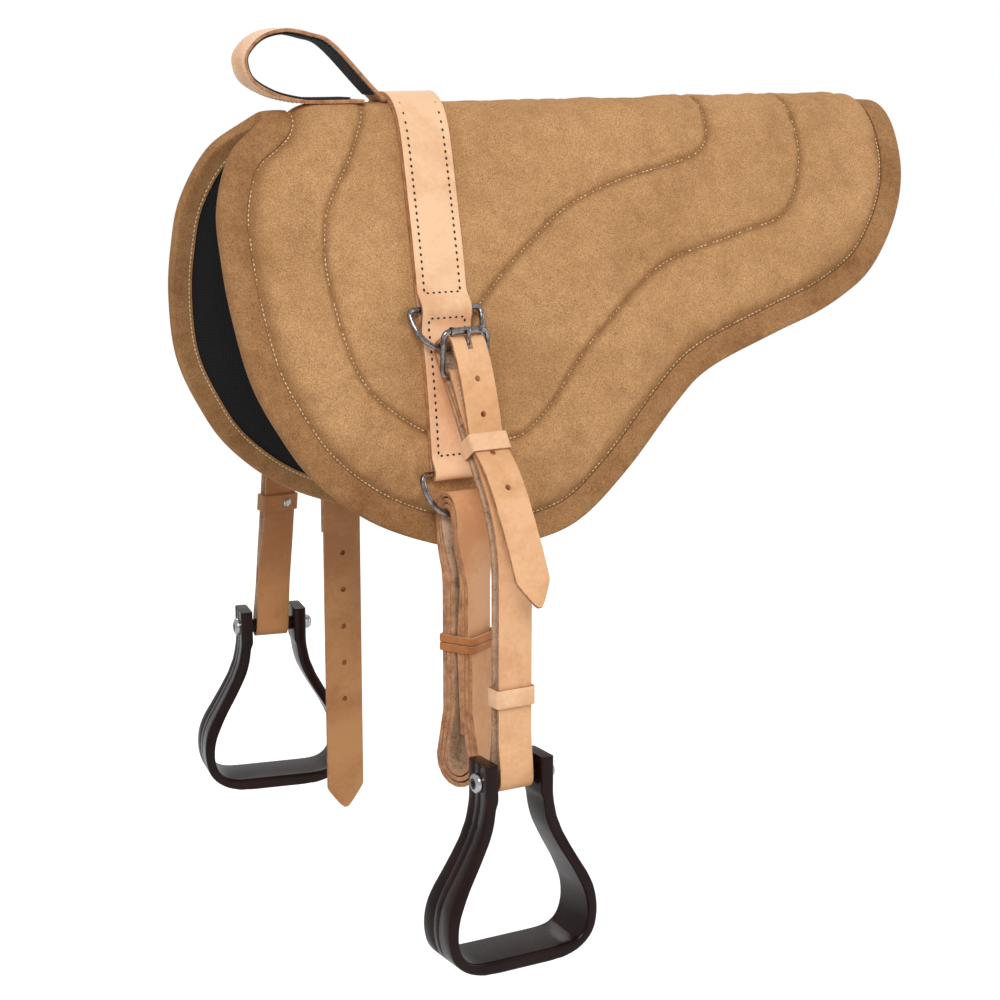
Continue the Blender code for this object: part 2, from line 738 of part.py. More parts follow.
def build_rigging_strap():
    """Two plies stitched together, with a tunnel for each ring."""
    stations = rig_stations()
    loop = []
    for side in (-1, 1):
        outer = [pad_point(RIG_X, side * s, rig_outer(s)) for s in stations]
        inner = [pad_point(RIG_X, side * s, RIG_INNER) for s in stations]
        centre = bar_centre(side, LOWER_BAR)
        lean = slope(RIG_X, LOWER_BAR)
        end = []
        for i in range(1, 6):
            angle = mix(0, math.pi, i / 6)
            across = math.cos(angle) * (BAR_BORE + RIG_PLY)
            down = math.sin(angle) * (BAR_BORE + RIG_PLY)
            out = across * math.sin(lean) + down * math.cos(lean)
            up = across * math.cos(lean) - down * math.sin(lean)
            end.append(Vector((RIG_X, centre.y + side * out, centre.z + up)))
        half = outer + end + inner[::-1]
        if side < 0:
            near = half
        else:
            off = half
    count = len(stations)
    outer_line = near[:count][::-1] + off[1:count]
    off_end = off[count:-count]
    inner_line = off[-count:] + near[-count:][::-1][1:]
    near_end = near[count:-count][::-1]
    loop = [(p.y, p.z) for p in outer_line + off_end + inner_line + near_end]
    loops = [loop]
    for side in (-1, 1):
        for bar in (UPPER_BAR, LOWER_BAR):
            centre = bar_centre(side, bar)
            loops.append(arc((centre.y, centre.z), BAR_BORE / math.cos(math.pi / 12),
                             0, math.tau * 11 / 12, 11))
    strap = flat_piece("rigging_strap", loops, RIG_WIDTH)
    strap.data.transform(across_to_x(RIG_X))
    reshape(strap, lambda x, y, z: Vector((x + rig_slant(z), y, z)))
    finish(settle_object(strap), "rigging_strap", "leather")


def rig_slant(up):
    """How much further back the strap lies at this height, above the upper rings."""
    low = pad_point(RIG_X, UPPER_BAR - TUNNEL_HALF, RIG_OUTER).z
    high = RIG_OUTER
    return RIG_SLANT * min(max((up - low) / (high - low), 0.0), 1.0)


def across_to_x(x):
    """Turns a flat outline of out and up into the plane across the pad at x."""
    return Matrix(((0, 0, 1, x), (1, 0, 0, 0), (0, 1, 0, 0), (0, 0, 0, 1)))


def settle_object(thing):
    settle(thing.data)
    return thing


def ring_line():
    """The ring's wire: a straight bar and a round bow, down from the bar."""
    points = []
    steps = 18
    for i in range(steps + 1):
        angle = mix(0, math.pi, i / steps)
        across = math.copysign(abs(math.cos(angle)) ** (2 / RING_POWER), math.cos(angle))
        down = math.sin(angle) ** (2 / RING_POWER)
        points.append((across * RING_HALF, 0.0, -down * RING_DEPTH))
    bar = RING_HALF - 2 * RING_WIRE
    corner = RING_WIRE
    points[0] = (RING_HALF, 0.0, -corner * 2)
    points[-1] = (-RING_HALF, 0.0, -corner * 2)
    return points + [(-RING_HALF + corner * 0.6, 0.0, -corner * 0.6), (-bar, 0.0, 0.0),
                     (bar, 0.0, 0.0), (RING_HALF - corner * 0.6, 0.0, -corner * 0.6)]


def build_ring(name, side, bar, lean):
    ring = wire(name, ring_line(), RING_WIRE, True)
    ring.location = bar_centre(side, bar)
    ring.rotation_euler = Euler((side * lean, 0, 0))
    finish(ring, name, "nickel")


def bow_centre(side, bar, lean):
    """Middle of the ring's bow, where a strap hangs."""
    centre = bar_centre(side, bar)
    return centre + Vector((0, side * math.sin(lean), -math.cos(lean))) * RING_DEPTH


# A stirrup leather hangs from the bow of its ring. Its own measures are: out from the
# middle of the ring's wire, down along the leather, and across it.

BACK_PLY = -(RING_WIRE + EDGE_LIFT + LEATHER / 2)
MIDDLE_PLY = 0.0024
CHAPE_PLY = MIDDLE_PLY - PLY_PITCH
FREE_PLY = MIDDLE_PLY + PLY_PITCH + GAP / 2
LOOP_RADIUS = SLEEVE + BAR_CLEARANCE + LEATHER / 2
LOOP_CENTRE = (MIDDLE_PLY + BACK_PLY) / 2
HEEL_RADIUS = BUCKLE_WIRE + BAR_CLEARANCE + LEATHER / 2
ROLLER = BUCKLE_WIRE + BAR_CLEARANCE + ROLLER_WALL
SLOT_HALF = TONGUE_WIRE + 2 * BAR_CLEARANCE
SLOT_TOP = -0.0014
SLOT_BOTTOM = 0.0130
FOLD_SLOT_RUN = 0.014
FREE_JOINS = 0.080           # here the free end lies against the plies behind it
FLARE_START = 0.102          # and here it curls away again
PLIES_JOIN = 0.059
LOOP_STEPS = 10
# Middle line of the free end over the heel bar: out in bulges, down
BULGE_LINE = (
    (0.440, 0.0680), (0.640, 0.0530), (0.810, 0.0392), (0.940, 0.0240), (1.000, 0.0100),
    (1.000, 0.0045), (0.925, 0.0008), (0.800, -0.0022), (0.500, -0.0055))


def hang_angle(side, down):
    run = side["plumb_start"] - side["lean_end"]
    return side["lean"] * (1 - smooth((down - side["lean_end"]) / run))


def hang_line(side, down):
    """How far out and up the leather's middle line has come."""
    if down <= 0:
        return down * math.sin(side["lean"]), -down * math.cos(side["lean"])
    steps = max(1, math.ceil(down / FOLD_STEP))
    out = up = 0.0
    for i in range(steps):
        angle = hang_angle(side, down * (i + 0.5) / steps)
        out += math.sin(angle) * down / steps
        up -= math.cos(angle) * down / steps
    return out, up


def hang_point(side, out, down, across):
    """Place in the world of a point given in the leather's own measures."""
    start = bow_centre(side["sign"], UPPER_BAR, UPPER_RING_LEAN)
    line_out, line_up = hang_line(side, down)
    angle = hang_angle(side, down)
    turn = side["turn"] * smooth((down - TURN_START) / (TURN_END - TURN_START))
    away = out * math.cos(angle)
    x = across * math.cos(turn) - away * math.sin(turn)
    away = across * math.sin(turn) + away * math.cos(turn)
    drift = side["drift"] * max(down, 0.0) / side["bolt_drop"]
    return Vector((RIG_X + drift + x,
                   side["sign"] * (abs(start.y) + line_out + away),
                   start.z + line_up + out * math.sin(angle)))


def leather_path(side):
    """Middle line of the leather on edge: from the tip up over the ring, down round the
    stirrup's sleeve, and up to the heel bar of the buckle."""
    bolt = side["bolt_drop"]
    run = side["tip_drop"] - FLARE_START
    path = [(FREE_PLY + side["flare"] * out, FLARE_START + run * down)
            for down, out in FLARE_SHARES[::-1]]
    path += [(FREE_PLY, FREE_JOINS)] + [(out * BULGE, down) for out, down in BULGE_LINE]
    path += arc((0, 0), -BACK_PLY, -math.radians(76), -math.pi, 6)
    opening = [(mix(BACK_PLY, LOOP_CENTRE - LOOP_RADIUS, smooth(k / 4)),
                bolt - LOOP_RUN * (1 - k / 4)) for k in range(5)]
    path += opening
    path += arc((LOOP_CENTRE, bolt), LOOP_RADIUS, math.pi, 0, LOOP_STEPS)[1:]
    closing = [(mix(MIDDLE_PLY, LOOP_CENTRE + LOOP_RADIUS, smooth(k / 4)),
                bolt - LOOP_RUN * (1 - k / 4)) for k in (3, 2, 1, 0)]
    path += closing
    path += [(mix(MIDDLE_PLY, HEEL_OFFSET + HEEL_RADIUS, smooth(k / 3)),
              mix(PLIES_JOIN, HEEL_DROP, k / 3)) for k in range(4)]
    path += arc((HEEL_OFFSET, HEEL_DROP), HEEL_RADIUS, 0, -math.pi, 8)[1:]
    path += [(mix(HEEL_OFFSET - HEEL_RADIUS, CHAPE_PLY, smooth(k / 3)),
              mix(HEEL_DROP, PLIES_JOIN, k / 3)) for k in range(1, 4)]
    path += [(CHAPE_PLY, CHAPE_END)]
    return path


def free_place(side, down):
    """How far out the free end's middle line is at this level."""
    share = (down - FLARE_START) / (side["tip_drop"] - FLARE_START)
    if share > 0:
        line = [(a, FREE_PLY + side["flare"] * b) for a, b in FLARE_SHARES]
        return value_on(line, share)
    line = [(down_, out * BULGE) for out, down_ in BULGE_LINE[:4][::-1]]
    return value_on(line + [(FREE_JOINS, FREE_PLY)], down)


def value_on(line, place):
    """The line's second measure at a place along its first."""
    for (a, low), (b, high) in zip(line, line[1:]):
        if place <= b:
            break
    return mix(low, high, (place - a) / (b - a))


def tip_cutters(name, ply, tip, half, thickness):
    """Two wedges that leave a strap's end pointed."""
    corner = TIP_SHARES[0][1]
    for hand in (-1, 1):
        outline = [(tip - TIP_TAPER * back, hand * half * wide) for back, wide in TIP_SHARES]
        outline = outline[::-1] + [(tip + OVERRUN, hand * half * corner),
                                   (tip + OVERRUN, hand * (half + OVERRUN)),
                                   (tip - TIP_TAPER, hand * (half + OVERRUN))]
        wedge = flat_piece(name + "_tip_cutter", [outline], thickness, cutters)
        wedge.data.transform(Matrix(((0, 0, 1, ply), (1, 0, 0, 0), (0, 1, 0, 0), (0, 0, 0, 1))))
        settle(wedge.data)
        yield wedge


def cut_across(thing, levels):
    """Cuts a strap across at each level, so that it bends smoothly."""
    work = bmesh.new()
    work.from_mesh(thing.data)
    for level in levels:
        bmesh.ops.bisect_plane(work, geom=work.verts[:] + work.edges[:] + work.faces[:],
                               dist=WELD, plane_co=(0, level, 0), plane_no=(0, 1, 0))
    bmesh.ops.triangulate(work, faces=work.faces)
    work.to_mesh(thing.data)
    work.free()


def reshape(thing, place):
    """Moves every point of a piece to where the function puts it."""
    work = bmesh.new()
    work.from_mesh(thing.data)
    for vert in work.verts:
        vert.co = place(*vert.co)
    face_outwards(work)
    work.to_mesh(thing.data)
    work.free()


def levels_between(first, last):
    count = max(1, math.ceil((last - first) / BEND_CUT))
    return [mix(first, last, i / count) for i in range(count + 1)]


def build_leather(name, side):
    strap = strap_piece(name + "_stirrup_leather", leather_path(side), LEATHER, LEATHER_WIDTH)
    skin = LEATHER / 2 + GAP / 2
    tip = side["tip_drop"]
    middle = free_place(side, tip - TIP_TAPER / 2)
    for wedge in tip_cutters(name, middle, tip, LEATHER_WIDTH / 2,
                             2 * skin + side["flare"] * 0.7):
        cut(strap, wedge)
    for hole in HOLE_DROPS:
        cut(strap, peg_cutter(name + "_hole_cutter", LEATHER_HOLE,
                              (free_place(side, hole), hole, 0), (1, 0, 0), 3.2 * skin))
    cut(strap, box_cutter(name + "_slot_cutter", (BULGE / 2, SLOT_TOP, -SLOT_HALF),
                          (BULGE + LEATHER, SLOT_BOTTOM, SLOT_HALF)))
    reach = HEEL_RADIUS + skin
    cut(strap, box_cutter(name + "_fold_cutter",
                          (HEEL_OFFSET - reach, HEEL_DROP - reach, -SLOT_HALF),
                          (HEEL_OFFSET + reach, HEEL_DROP + FOLD_SLOT_RUN, SLOT_HALF)))
    levels = levels_between(side["lean_end"], side["plumb_start"])
    if side["turn"]:
        levels += levels_between(TURN_START, TURN_END)
    cut_across(strap, levels)
    reshape(strap, lambda out, down, across: hang_point(side, out, down, across))
    set_origin(strap, bow_centre(side["sign"], UPPER_BAR, UPPER_RING_LEAN))
    finish(strap, name + "_stirrup_leather", "leather")


def buckle_place(along, across, off=0.0):
    """A point of the buckle: along its side bars from the heel bar, across, and off its face."""
    rise = Vector((ROLLER_OUT - HEEL_OFFSET, -ROLLER_RISE - HEEL_DROP))
    unit = rise.normalized()
    return (HEEL_OFFSET + unit.x * along - unit.y * off,
            HEEL_DROP + unit.y * along + unit.x * off, across)


def buckle_length():
    return math.hypot(ROLLER_OUT - HEEL_OFFSET, ROLLER_RISE + HEEL_DROP)


def build_buckle(name, side):
    length = buckle_length()
    straight = BUCKLE_HALF - BUCKLE_CORNER
    corners = []
    for centre, first in (((length - BUCKLE_CORNER, straight), 0),
                          ((BUCKLE_CORNER, straight), math.pi / 2),
                          ((BUCKLE_CORNER, -straight), math.pi),
                          ((length - BUCKLE_CORNER, -straight), 1.5 * math.pi)):
        corners += arc(centre, BUCKLE_CORNER, first, first + math.pi / 2, 3)
    points = [hang_point(side, *buckle_place(along, across)) for along, across in corners]
    frame = wire(name + "_buckle", points, BUCKLE_WIRE, True)
    heel = hang_point(side, *buckle_place(0, 0))
    set_origin(frame, heel)
    finish(frame, name + "_buckle", "nickel")

    profile = [(ROLLER - ROLLER_WALL, -ROLLER_LENGTH / 2), (ROLLER, -ROLLER_LENGTH / 2),
               (ROLLER, ROLLER_LENGTH / 2), (ROLLER - ROLLER_WALL, ROLLER_LENGTH / 2)]
    roller = turned(name + "_buckle_roller", profile, 14, closed=True)
    roller.location = hang_point(side, *buckle_place(length, 0))
    finish(roller, name + "_buckle_roller", "nickel")

    eye = BUCKLE_WIRE + BAR_CLEARANCE + TONGUE_WIRE
    rest = ROLLER + BAR_CLEARANCE + TONGUE_WIRE
    line = arc((0, 0), eye, math.radians(40), math.radians(-180), 9)
    line = [(along, off) for off, along in line]
    line += [(length - rest / 2, rest * 0.92), (length, rest), (length + TONGUE_TIP, rest * 0.94)]
    points = [hang_point(side, *buckle_place(along, 0, off)) for along, off in line]
    tongue = wire(name + "_buckle_tongue", points, TONGUE_WIRE, False)
    set_origin(tongue, heel)
    finish(tongue, name + "_buckle_tongue", "nickel")


def keeper_loops(front):
    """Outline of a keeper round the plies back from the front one, and its opening."""
    low, high = BACK_PLY - LEATHER / 2, front + LEATHER / 2
    half = LEATHER_WIDTH / 2
    loops = []
    for grow in (KEEPER_CLEARANCE + KEEPER, KEEPER_CLEARANCE):
        corner = grow * 0.8
        loop = []
        for centre, first in (((high + grow - corner, half + grow - corner), 0),
                              ((low - grow + corner, half + grow - corner), math.pi / 2),
                              ((low - grow + corner, -half - grow + corner), math.pi),
                              ((high + grow - corner, -half - grow + corner), 1.5 * math.pi)):
            loop += arc(centre, corner, first, first + math.pi / 2, 2)
        loops.append(loop)
    return loops


def build_keeper(name, side, down):
    """A leather loop that slides on the plies, closed by a rivet at its back."""
    front = FREE_PLY if down < side["tip_drop"] else MIDDLE_PLY
    keeper = flat_piece(name, keeper_loops(front), KEEPER_HEIGHT)
    keeper.data.transform(Matrix(((1, 0, 0, 0), (0, 0, 1, down), (0, 1, 0, 0), (0, 0, 0, 1))))
    settle(keeper.data)
    face = BACK_PLY - LEATHER / 2 - KEEPER_CLEARANCE
    across = LEATHER_WIDTH / 5
    shank = RIVET_HEAD * 0.42
    cut(keeper, peg_cutter(name + "_rivet_cutter", shank + GAP, (face - KEEPER / 2, down, across),
                           (1, 0, 0), KEEPER + OVERRUN, 10))
    reshape(keeper, lambda *place: hang_point(side, *place))
    set_origin(keeper, hang_point(side, LOOP_CENTRE, down, 0))
    finish(keeper, name, "leather")

    start, rim, top = KEEPER, GAP, GAP + RIVET_HEIGHT
    profile = [(0, start), (shank, start), (shank, -rim), (RIVET_HEAD, -rim),
               (RIVET_HEAD * 0.8, -mix(rim, top, 0.7)), (0, -top)]
    rivet = turned(name + "_rivet", profile, 12)
    reshape(rivet, lambda a, b, c: hang_point(side, face - KEEPER + a, down + b, across + c))
    set_origin(rivet, hang_point(side, face - KEEPER, down, across))
    finish(rivet, name + "_rivet", "steel")


# Stirrups

def bolt_centre(side):
    return hang_point(side, LOOP_CENTRE, side["bolt_drop"], 0)


def stirrup_depth(up):
    """Fore and aft depth of the stirrup, wider at the tread."""
    return mix(ARM_DEPTH, TREAD_DEPTH, smooth((-up - STIRRUP_DROP * 0.25) / (STIRRUP_DROP * 0.6)))


def build_stirrup(name, side):
    outer_ear = EAR_GAP_HALF + EAR
    below = STIRRUP_RISE * 0.8
    outer = [(outer_ear, STIRRUP_RISE), (outer_ear, -below)] + [
        (a * STIRRUP_HALF_WIDTH, -b * STIRRUP_DROP) for a, b in STIRRUP_OUTER_SHARES]
    inner = [(EAR_GAP_HALF, STIRRUP_RISE), (EAR_GAP_HALF, -below)] + [
        (a * STIRRUP_HALF_WIDTH, -b * STIRRUP_DROP) for a, b in STIRRUP_INNER_SHARES]
    loop = (outer + [(-a, b) for a, b in outer[::-1]]
            + [(-a, b) for a, b in inner] + inner[::-1])
    stirrup = flat_piece(name + "_stirrup", [loop], TREAD_DEPTH)
    bevel = stirrup.modifiers.new("edges", "BEVEL")
    bevel.width = STIRRUP_BEVEL
    bevel.segments = 1
    bevel.limit_method = "ANGLE"
    bevel.angle_limit = math.radians(60)
    mesh = settle(mesh_from(stirrup))
    stirrup.modifiers.clear()
    stirrup.data = mesh
    reshape(stirrup, lambda a, b, c: Vector((a, c * stirrup_depth(b) / TREAD_DEPTH, b)))
    cut(stirrup, peg_cutter(name + "_bolt_cutter", BOLT + GAP, (0, 0, 0), (1, 0, 0),
                            2 * (outer_ear + OVERRUN), 16))
    hang_piece(stirrup, side)
    finish(stirrup, name + "_stirrup", "plastic")


def hang_piece(thing, side):
    """Puts a piece made round the bolt in its place."""
    thing.location = bolt_centre(side)
    thing.rotation_euler = Euler((0, 0, side["sign"] * side["turn"]))


def build_bolt(name, side):
    ear = EAR_GAP_HALF + EAR + GAP
    end = ear + NUT_HEIGHT - NUT_WALL - GAP
    profile = [(0, -ear - BOLT_HEAD_HEIGHT), (BOLT_HEAD * 0.62, -ear - BOLT_HEAD_HEIGHT),
               (BOLT_HEAD, -ear - BOLT_HEAD_HEIGHT * 0.5), (BOLT_HEAD, -ear),
               (BOLT, -ear), (BOLT, end), (0, end)]
    bolt = turned(name + "_stirrup_bolt", profile, 16)
    hang_piece(bolt, side)
    finish(bolt, name + "_stirrup_bolt", "steel")

    bore = BOLT + GAP
    profile = [(0, NUT_HEIGHT), (NUT * 0.65, NUT_HEIGHT * 0.9), (NUT, NUT_HEIGHT * 0.6),
               (NUT, 0), (bore, 0), (bore, NUT_HEIGHT - NUT_WALL), (0, NUT_HEIGHT - NUT_WALL)]
    nut = turned(name + "_stirrup_nut", [(r, h + ear) for r, h in profile], 16)
    hang_piece(nut, side)
    finish(nut, name + "_stirrup_nut", "steel")

    half = EAR_GAP_HALF - GAP
    profile = [(SLEEVE - SLEEVE_WALL, -half), (SLEEVE, -half), (SLEEVE, half),
               (SLEEVE - SLEEVE_WALL, half)]
    sleeve = turned(name + "_stirrup_sleeve", profile, 18, closed=True)
    hang_piece(sleeve, side)
    finish(sleeve, name + "_stirrup_sleeve", "plastic")


# Latigo, folded up and tied, and off billet

LATIGO_LOOP = RING_WIRE + LATIGO_LIFT + BAR_CLEARANCE + LATIGO / 2


def hank_draw(down):
    """How much the tie draws the hank in at this level."""
    run = HANK_LENGTH / 5
    return HANK_SQUEEZE * smooth(down / run) * smooth((HANK_LENGTH - down) / run)


def hank_path():
    """The latigo wound up and down in a flat spiral, from its inner end out."""
    steps = 8
    path = [(LATIGO_LOOP, HANK_LENGTH * 0.9), (LATIGO_LOOP, HANK_LENGTH * 0.5)]
    for turn in range(HANK_HALF_TURNS):
        upwards = turn % 2 == 0
        first = 0 if upwards else math.pi
        centre = 0.0 if upwards else HANK_LENGTH
        arch = -1 if upwards else 1
        for i in range(steps + 1):
            angle = math.pi * i / steps
            radius = LATIGO_LOOP + HANK_PITCH * (turn + i / steps) / 2
            across = math.cos(first + angle) * radius
            path.append((across, centre + arch * math.sin(angle) * radius * HANK_ARCH_SHARE))
        side = -1 if upwards else 1
        for share in (0.2, 0.5, 0.8):
            path.append((side * (LATIGO_LOOP + HANK_PITCH * (turn + 1) / 2),
                         HANK_LENGTH * (share if upwards else 1 - share)))
    drawn = []
    for across, down in path[:-1]:
        pull = hank_draw(down)
        drawn.append((across - math.copysign(pull, across) + HANK_SHIFT, down))
    return drawn


def hank_clearance(path):
    """Least gap between the hank's turns, from its middle line."""
    least = None
    for i, (a, b) in enumerate(path):
        travelled = 0.0
        for j in range(i + 1, len(path) - 1):
            travelled += math.dist(path[j - 1], path[j])
            if travelled > 6 * LATIGO:
                gap = distance_to_line(a, b, path[j:j + 2]) - LATIGO
                least = gap if least is None else min(least, gap)
    return least


def near_hang(out, down, across):
    """Place of a point of the hank, which turns edge on below the ring."""
    start = bow_centre(-1, LOWER_BAR, SIDES["near"]["lower_ring_lean"])
    turn = HANK_TURN * smooth(down / HANK_TURN_RUN)
    x = across * math.cos(turn) + out * math.sin(turn)
    away = out * math.cos(turn) - across * math.sin(turn)
    return start + Vector((x, -away, -down - HANK_SAG))


def build_latigo():
    path = hank_path()
    print("least gap between turns of the latigo, mm:", round(hank_clearance(path) * 1000, 2))
    strap = strap_piece("latigo", path, LATIGO, LATIGO_WIDTH)
    cut_across(strap, levels_between(0, HANK_TURN_RUN))
    reshape(strap, near_hang)
    set_origin(strap, bow_centre(-1, LOWER_BAR, SIDES["near"]["lower_ring_lean"]))
    finish(strap, "latigo", "latigo")

    outer = LATIGO_LOOP + HANK_PITCH * HANK_HALF_TURNS / 2 + LATIGO / 2 - HANK_SQUEEZE
    high = HANK_SHIFT + outer
    low = HANK_SHIFT - outer + HANK_PITCH / 2
    half = LATIGO_WIDTH / 2
    loops = []
    for grow in (KEEPER_CLEARANCE + TIE, KEEPER_CLEARANCE):
        loop = []
        for centre, first in (((high, half), 0), ((low, half), math.pi / 2),
                              ((low, -half), math.pi), ((high, -half), 1.5 * math.pi)):
            loop += arc(centre, grow, first, first + math.pi / 2, 2)
        loops.append(loop)
    tie = flat_piece("latigo_tie", loops, TIE_HEIGHT)
    tie.data.transform(Matrix(((1, 0, 0, 0), (0, 0, 1, TIE_DROP), (0, 1, 0, 0), (0, 0, 0, 1))))
    settle(tie.data)
    reshape(tie, near_hang)
    set_origin(tie, near_hang(0, TIE_DROP, 0))
    finish(tie, "latigo_tie", "lace")


def off_hang(out, down, across):
    start = bow_centre(1, LOWER_BAR, SIDES["off"]["lower_ring_lean"])
    return start + Vector((across, -out, -down))


def build_billet():
    """A doubled strap over the off ring, its long end punched and pointed."""
    join = BILLET_RETURN / 2
    front, back = LATIGO / 2 + GAP / 2, -LATIGO / 2 - GAP / 2
    path = [(front, BILLET_LENGTH), (front, join)]
    path += [(mix(front, LATIGO_LOOP, smooth(k / 3)), join * (1 - k / 3)) for k in (1, 2, 3)]
    path += arc((0, 0), LATIGO_LOOP, 0, -math.pi, 8)[1:]
    path += [(mix(-LATIGO_LOOP, back, smooth(k / 3)), join * k / 3) for k in (1, 2, 3)]
    path += [(back, BILLET_RETURN)]
    strap = strap_piece("off_billet", path, LATIGO, LATIGO_WIDTH)
    for wedge in tip_cutters("billet", front, BILLET_LENGTH, LATIGO_WIDTH / 2, LATIGO + GAP):
        cut(strap, wedge)
    for i in range(BILLET_HOLES):
        down = BILLET_FIRST_HOLE + i * BILLET_PITCH
        if down < BILLET_LENGTH - TIP_TAPER:
            cut(strap, peg_cutter("billet_hole_cutter", LEATHER_HOLE, (front, down, 0),
                                  (1, 0, 0), LATIGO + GAP))
    reshape(strap, off_hang)
    set_origin(strap, off_hang(0, 0, 0))
    finish(strap, "off_billet", "leather")


# Hand strap

def build_handle():
    """A loop of leather lined with webbing, sewn down in front of the rigging strap."""
    rear = RIG_X + RIG_SLANT - RIG_WIDTH / 2 - GAP
    base = TOP_HEIGHT - SEAM_DIP + GAP + HANDLE_PLY / 2
    points = [(rear - a * HANDLE_REACH, base + b * HANDLE_RISE) for a, b in HANDLE_SHARES]
    line = spline_through(points, 3)
    upright = Matrix(((1, 0, 0, 0), (0, 0, 1, 0), (0, 1, 0, 0), (0, 0, 0, 1)))
    strap = strap_piece("handle_strap", line, HANDLE_PLY, HANDLE_WIDTH)
    strap.data.transform(upright)
    finish(settle_object(strap), "handle_strap", "leather")
    between = (HANDLE_PLY + HANDLE_LINING) / 2 + GAP
    lined = shifted(line, between)[2:-1]
    inside = strap_piece("handle_lining", lined, HANDLE_LINING, HANDLE_WIDTH - 2 * HANDLE_PLY)
    inside.data.transform(upright)
    finish(settle_object(inside), "handle_lining", "webbing")


def main():
    global parts, cutters
    for thing in list(bpy.data.objects):
        bpy.data.objects.remove(thing, do_unlink=True)
    parts = bpy.data.collections.new("bareback_pad")
    cutters = bpy.data.collections.new("cutters")
    for collection in (parts, cutters):
        bpy.context.scene.collection.children.link(collection)
    build_pad()
    build_binding()
    build_rigging_strap()
    build_handle()
    for name, side in SIDES.items():
        build_ring(name + "_upper_ring", side["sign"], UPPER_BAR, UPPER_RING_LEAN)
        build_ring(name + "_lower_ring", side["sign"], LOWER_BAR, side["lower_ring_lean"])
        build_leather(name, side)
        build_buckle(name, side)
        build_keeper(name + "_upper_keeper", side, side["upper_keeper"])
        build_keeper(name + "_lower_keeper", side, side["lower_keeper"])
        build_stirrup(name, side)
        build_bolt(name, side)
    build_latigo()
    build_billet()


main()
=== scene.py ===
"""Looks of a bareback riding pad: quilted suede over foam, bound round its edge, with a
leather rigging strap, a hand strap, stirrup leathers with buckles and moulded stirrups.
Metres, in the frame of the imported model: +Z up, +X towards the horse's tail."""

import math

import bpy
import numpy as np
from mathutils import Euler, Matrix, Vector, noise


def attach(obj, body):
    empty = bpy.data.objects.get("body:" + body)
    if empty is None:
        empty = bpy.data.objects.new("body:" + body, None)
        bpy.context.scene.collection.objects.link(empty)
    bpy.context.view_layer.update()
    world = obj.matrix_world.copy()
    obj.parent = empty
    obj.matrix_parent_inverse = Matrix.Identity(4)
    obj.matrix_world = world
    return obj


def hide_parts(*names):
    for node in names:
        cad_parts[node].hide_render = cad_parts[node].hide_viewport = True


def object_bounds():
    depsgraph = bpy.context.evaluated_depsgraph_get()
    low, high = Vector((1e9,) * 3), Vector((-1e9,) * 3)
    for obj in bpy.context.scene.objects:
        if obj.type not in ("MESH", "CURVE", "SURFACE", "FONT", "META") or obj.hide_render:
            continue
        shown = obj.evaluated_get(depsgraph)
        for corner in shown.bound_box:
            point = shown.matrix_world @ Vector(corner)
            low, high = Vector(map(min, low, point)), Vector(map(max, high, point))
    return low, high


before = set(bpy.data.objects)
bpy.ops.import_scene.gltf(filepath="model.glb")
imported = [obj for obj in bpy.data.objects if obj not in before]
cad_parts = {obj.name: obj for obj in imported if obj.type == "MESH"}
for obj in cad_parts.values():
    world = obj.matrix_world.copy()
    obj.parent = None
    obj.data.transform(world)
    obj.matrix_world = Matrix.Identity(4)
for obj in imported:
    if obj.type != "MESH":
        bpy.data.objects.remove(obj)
cad_low, cad_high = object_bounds()

MM = 0.001
GAP = 0.3 * MM                   # between pieces that touch
WELD = 0.01 * MM
TABLE_STEP, TABLE_STEPS = 0.5 * MM, 900
FOLD_SECTIONS = 65

# The pad, cut flat and folded over the spine
PAD_LENGTH = 710 * MM
FLAP_DEPTH = 386 * MM
LINING = 2.5 * MM
SUEDE = 2.2 * MM
EDGE_FOAM = 3.0 * MM
LOFT = 10.0 * MM
LOFT_RUN = 24 * MM
STITCH_INSET = 22 * MM
SEAM_DIP = 3.0 * MM
SEAM_HALF = 9 * MM
CHANNEL_DIP = 3.6 * MM
CHANNEL_HALF = 12 * MM
FRONT_SLOPE, REAR_SLOPE = math.radians(70), math.radians(72)
FRONT_BEND, REAR_BEND = 10 * MM, 45 * MM
FRONT_DROOP, REAR_DROOP = math.radians(14), math.radians(4)
DROOP_START, DROOP_END = 90 * MM, 300 * MM
FRONT_SECTION_X, REAR_SECTION_X = -140 * MM, 220 * MM
BINDING = 1.4 * MM
BINDING_LEAF = 20 * MM
BINDING_ROLL = 1.6 * MM
BINDING_LIFT = 0.5 * MM
BINDING_SLACK = 0.9 * MM
BINDING_CROWN, BINDING_WAVE, BINDING_PUFF = 0.5 * MM, 0.5 * MM, 0.25 * MM
BINDING_WALL = 1.2 * MM

# Rigging strap and rings
RIG_X = -183 * MM
RIG_WIDTH, RIG_SLANT = 48 * MM, 12 * MM
RIG_PLY = 3.2 * MM
UPPER_BAR, LOWER_BAR = 179 * MM, 316 * MM
TUNNEL_HALF = 16 * MM
BAR_CLEARANCE = 0.4 * MM
RING_WIRE = 2.5 * MM
RING_HALF = 34.5 * MM
RING_DEPTH = 38 * MM
RING_POWER = 2.5
UPPER_RING_LEAN = math.radians(30)

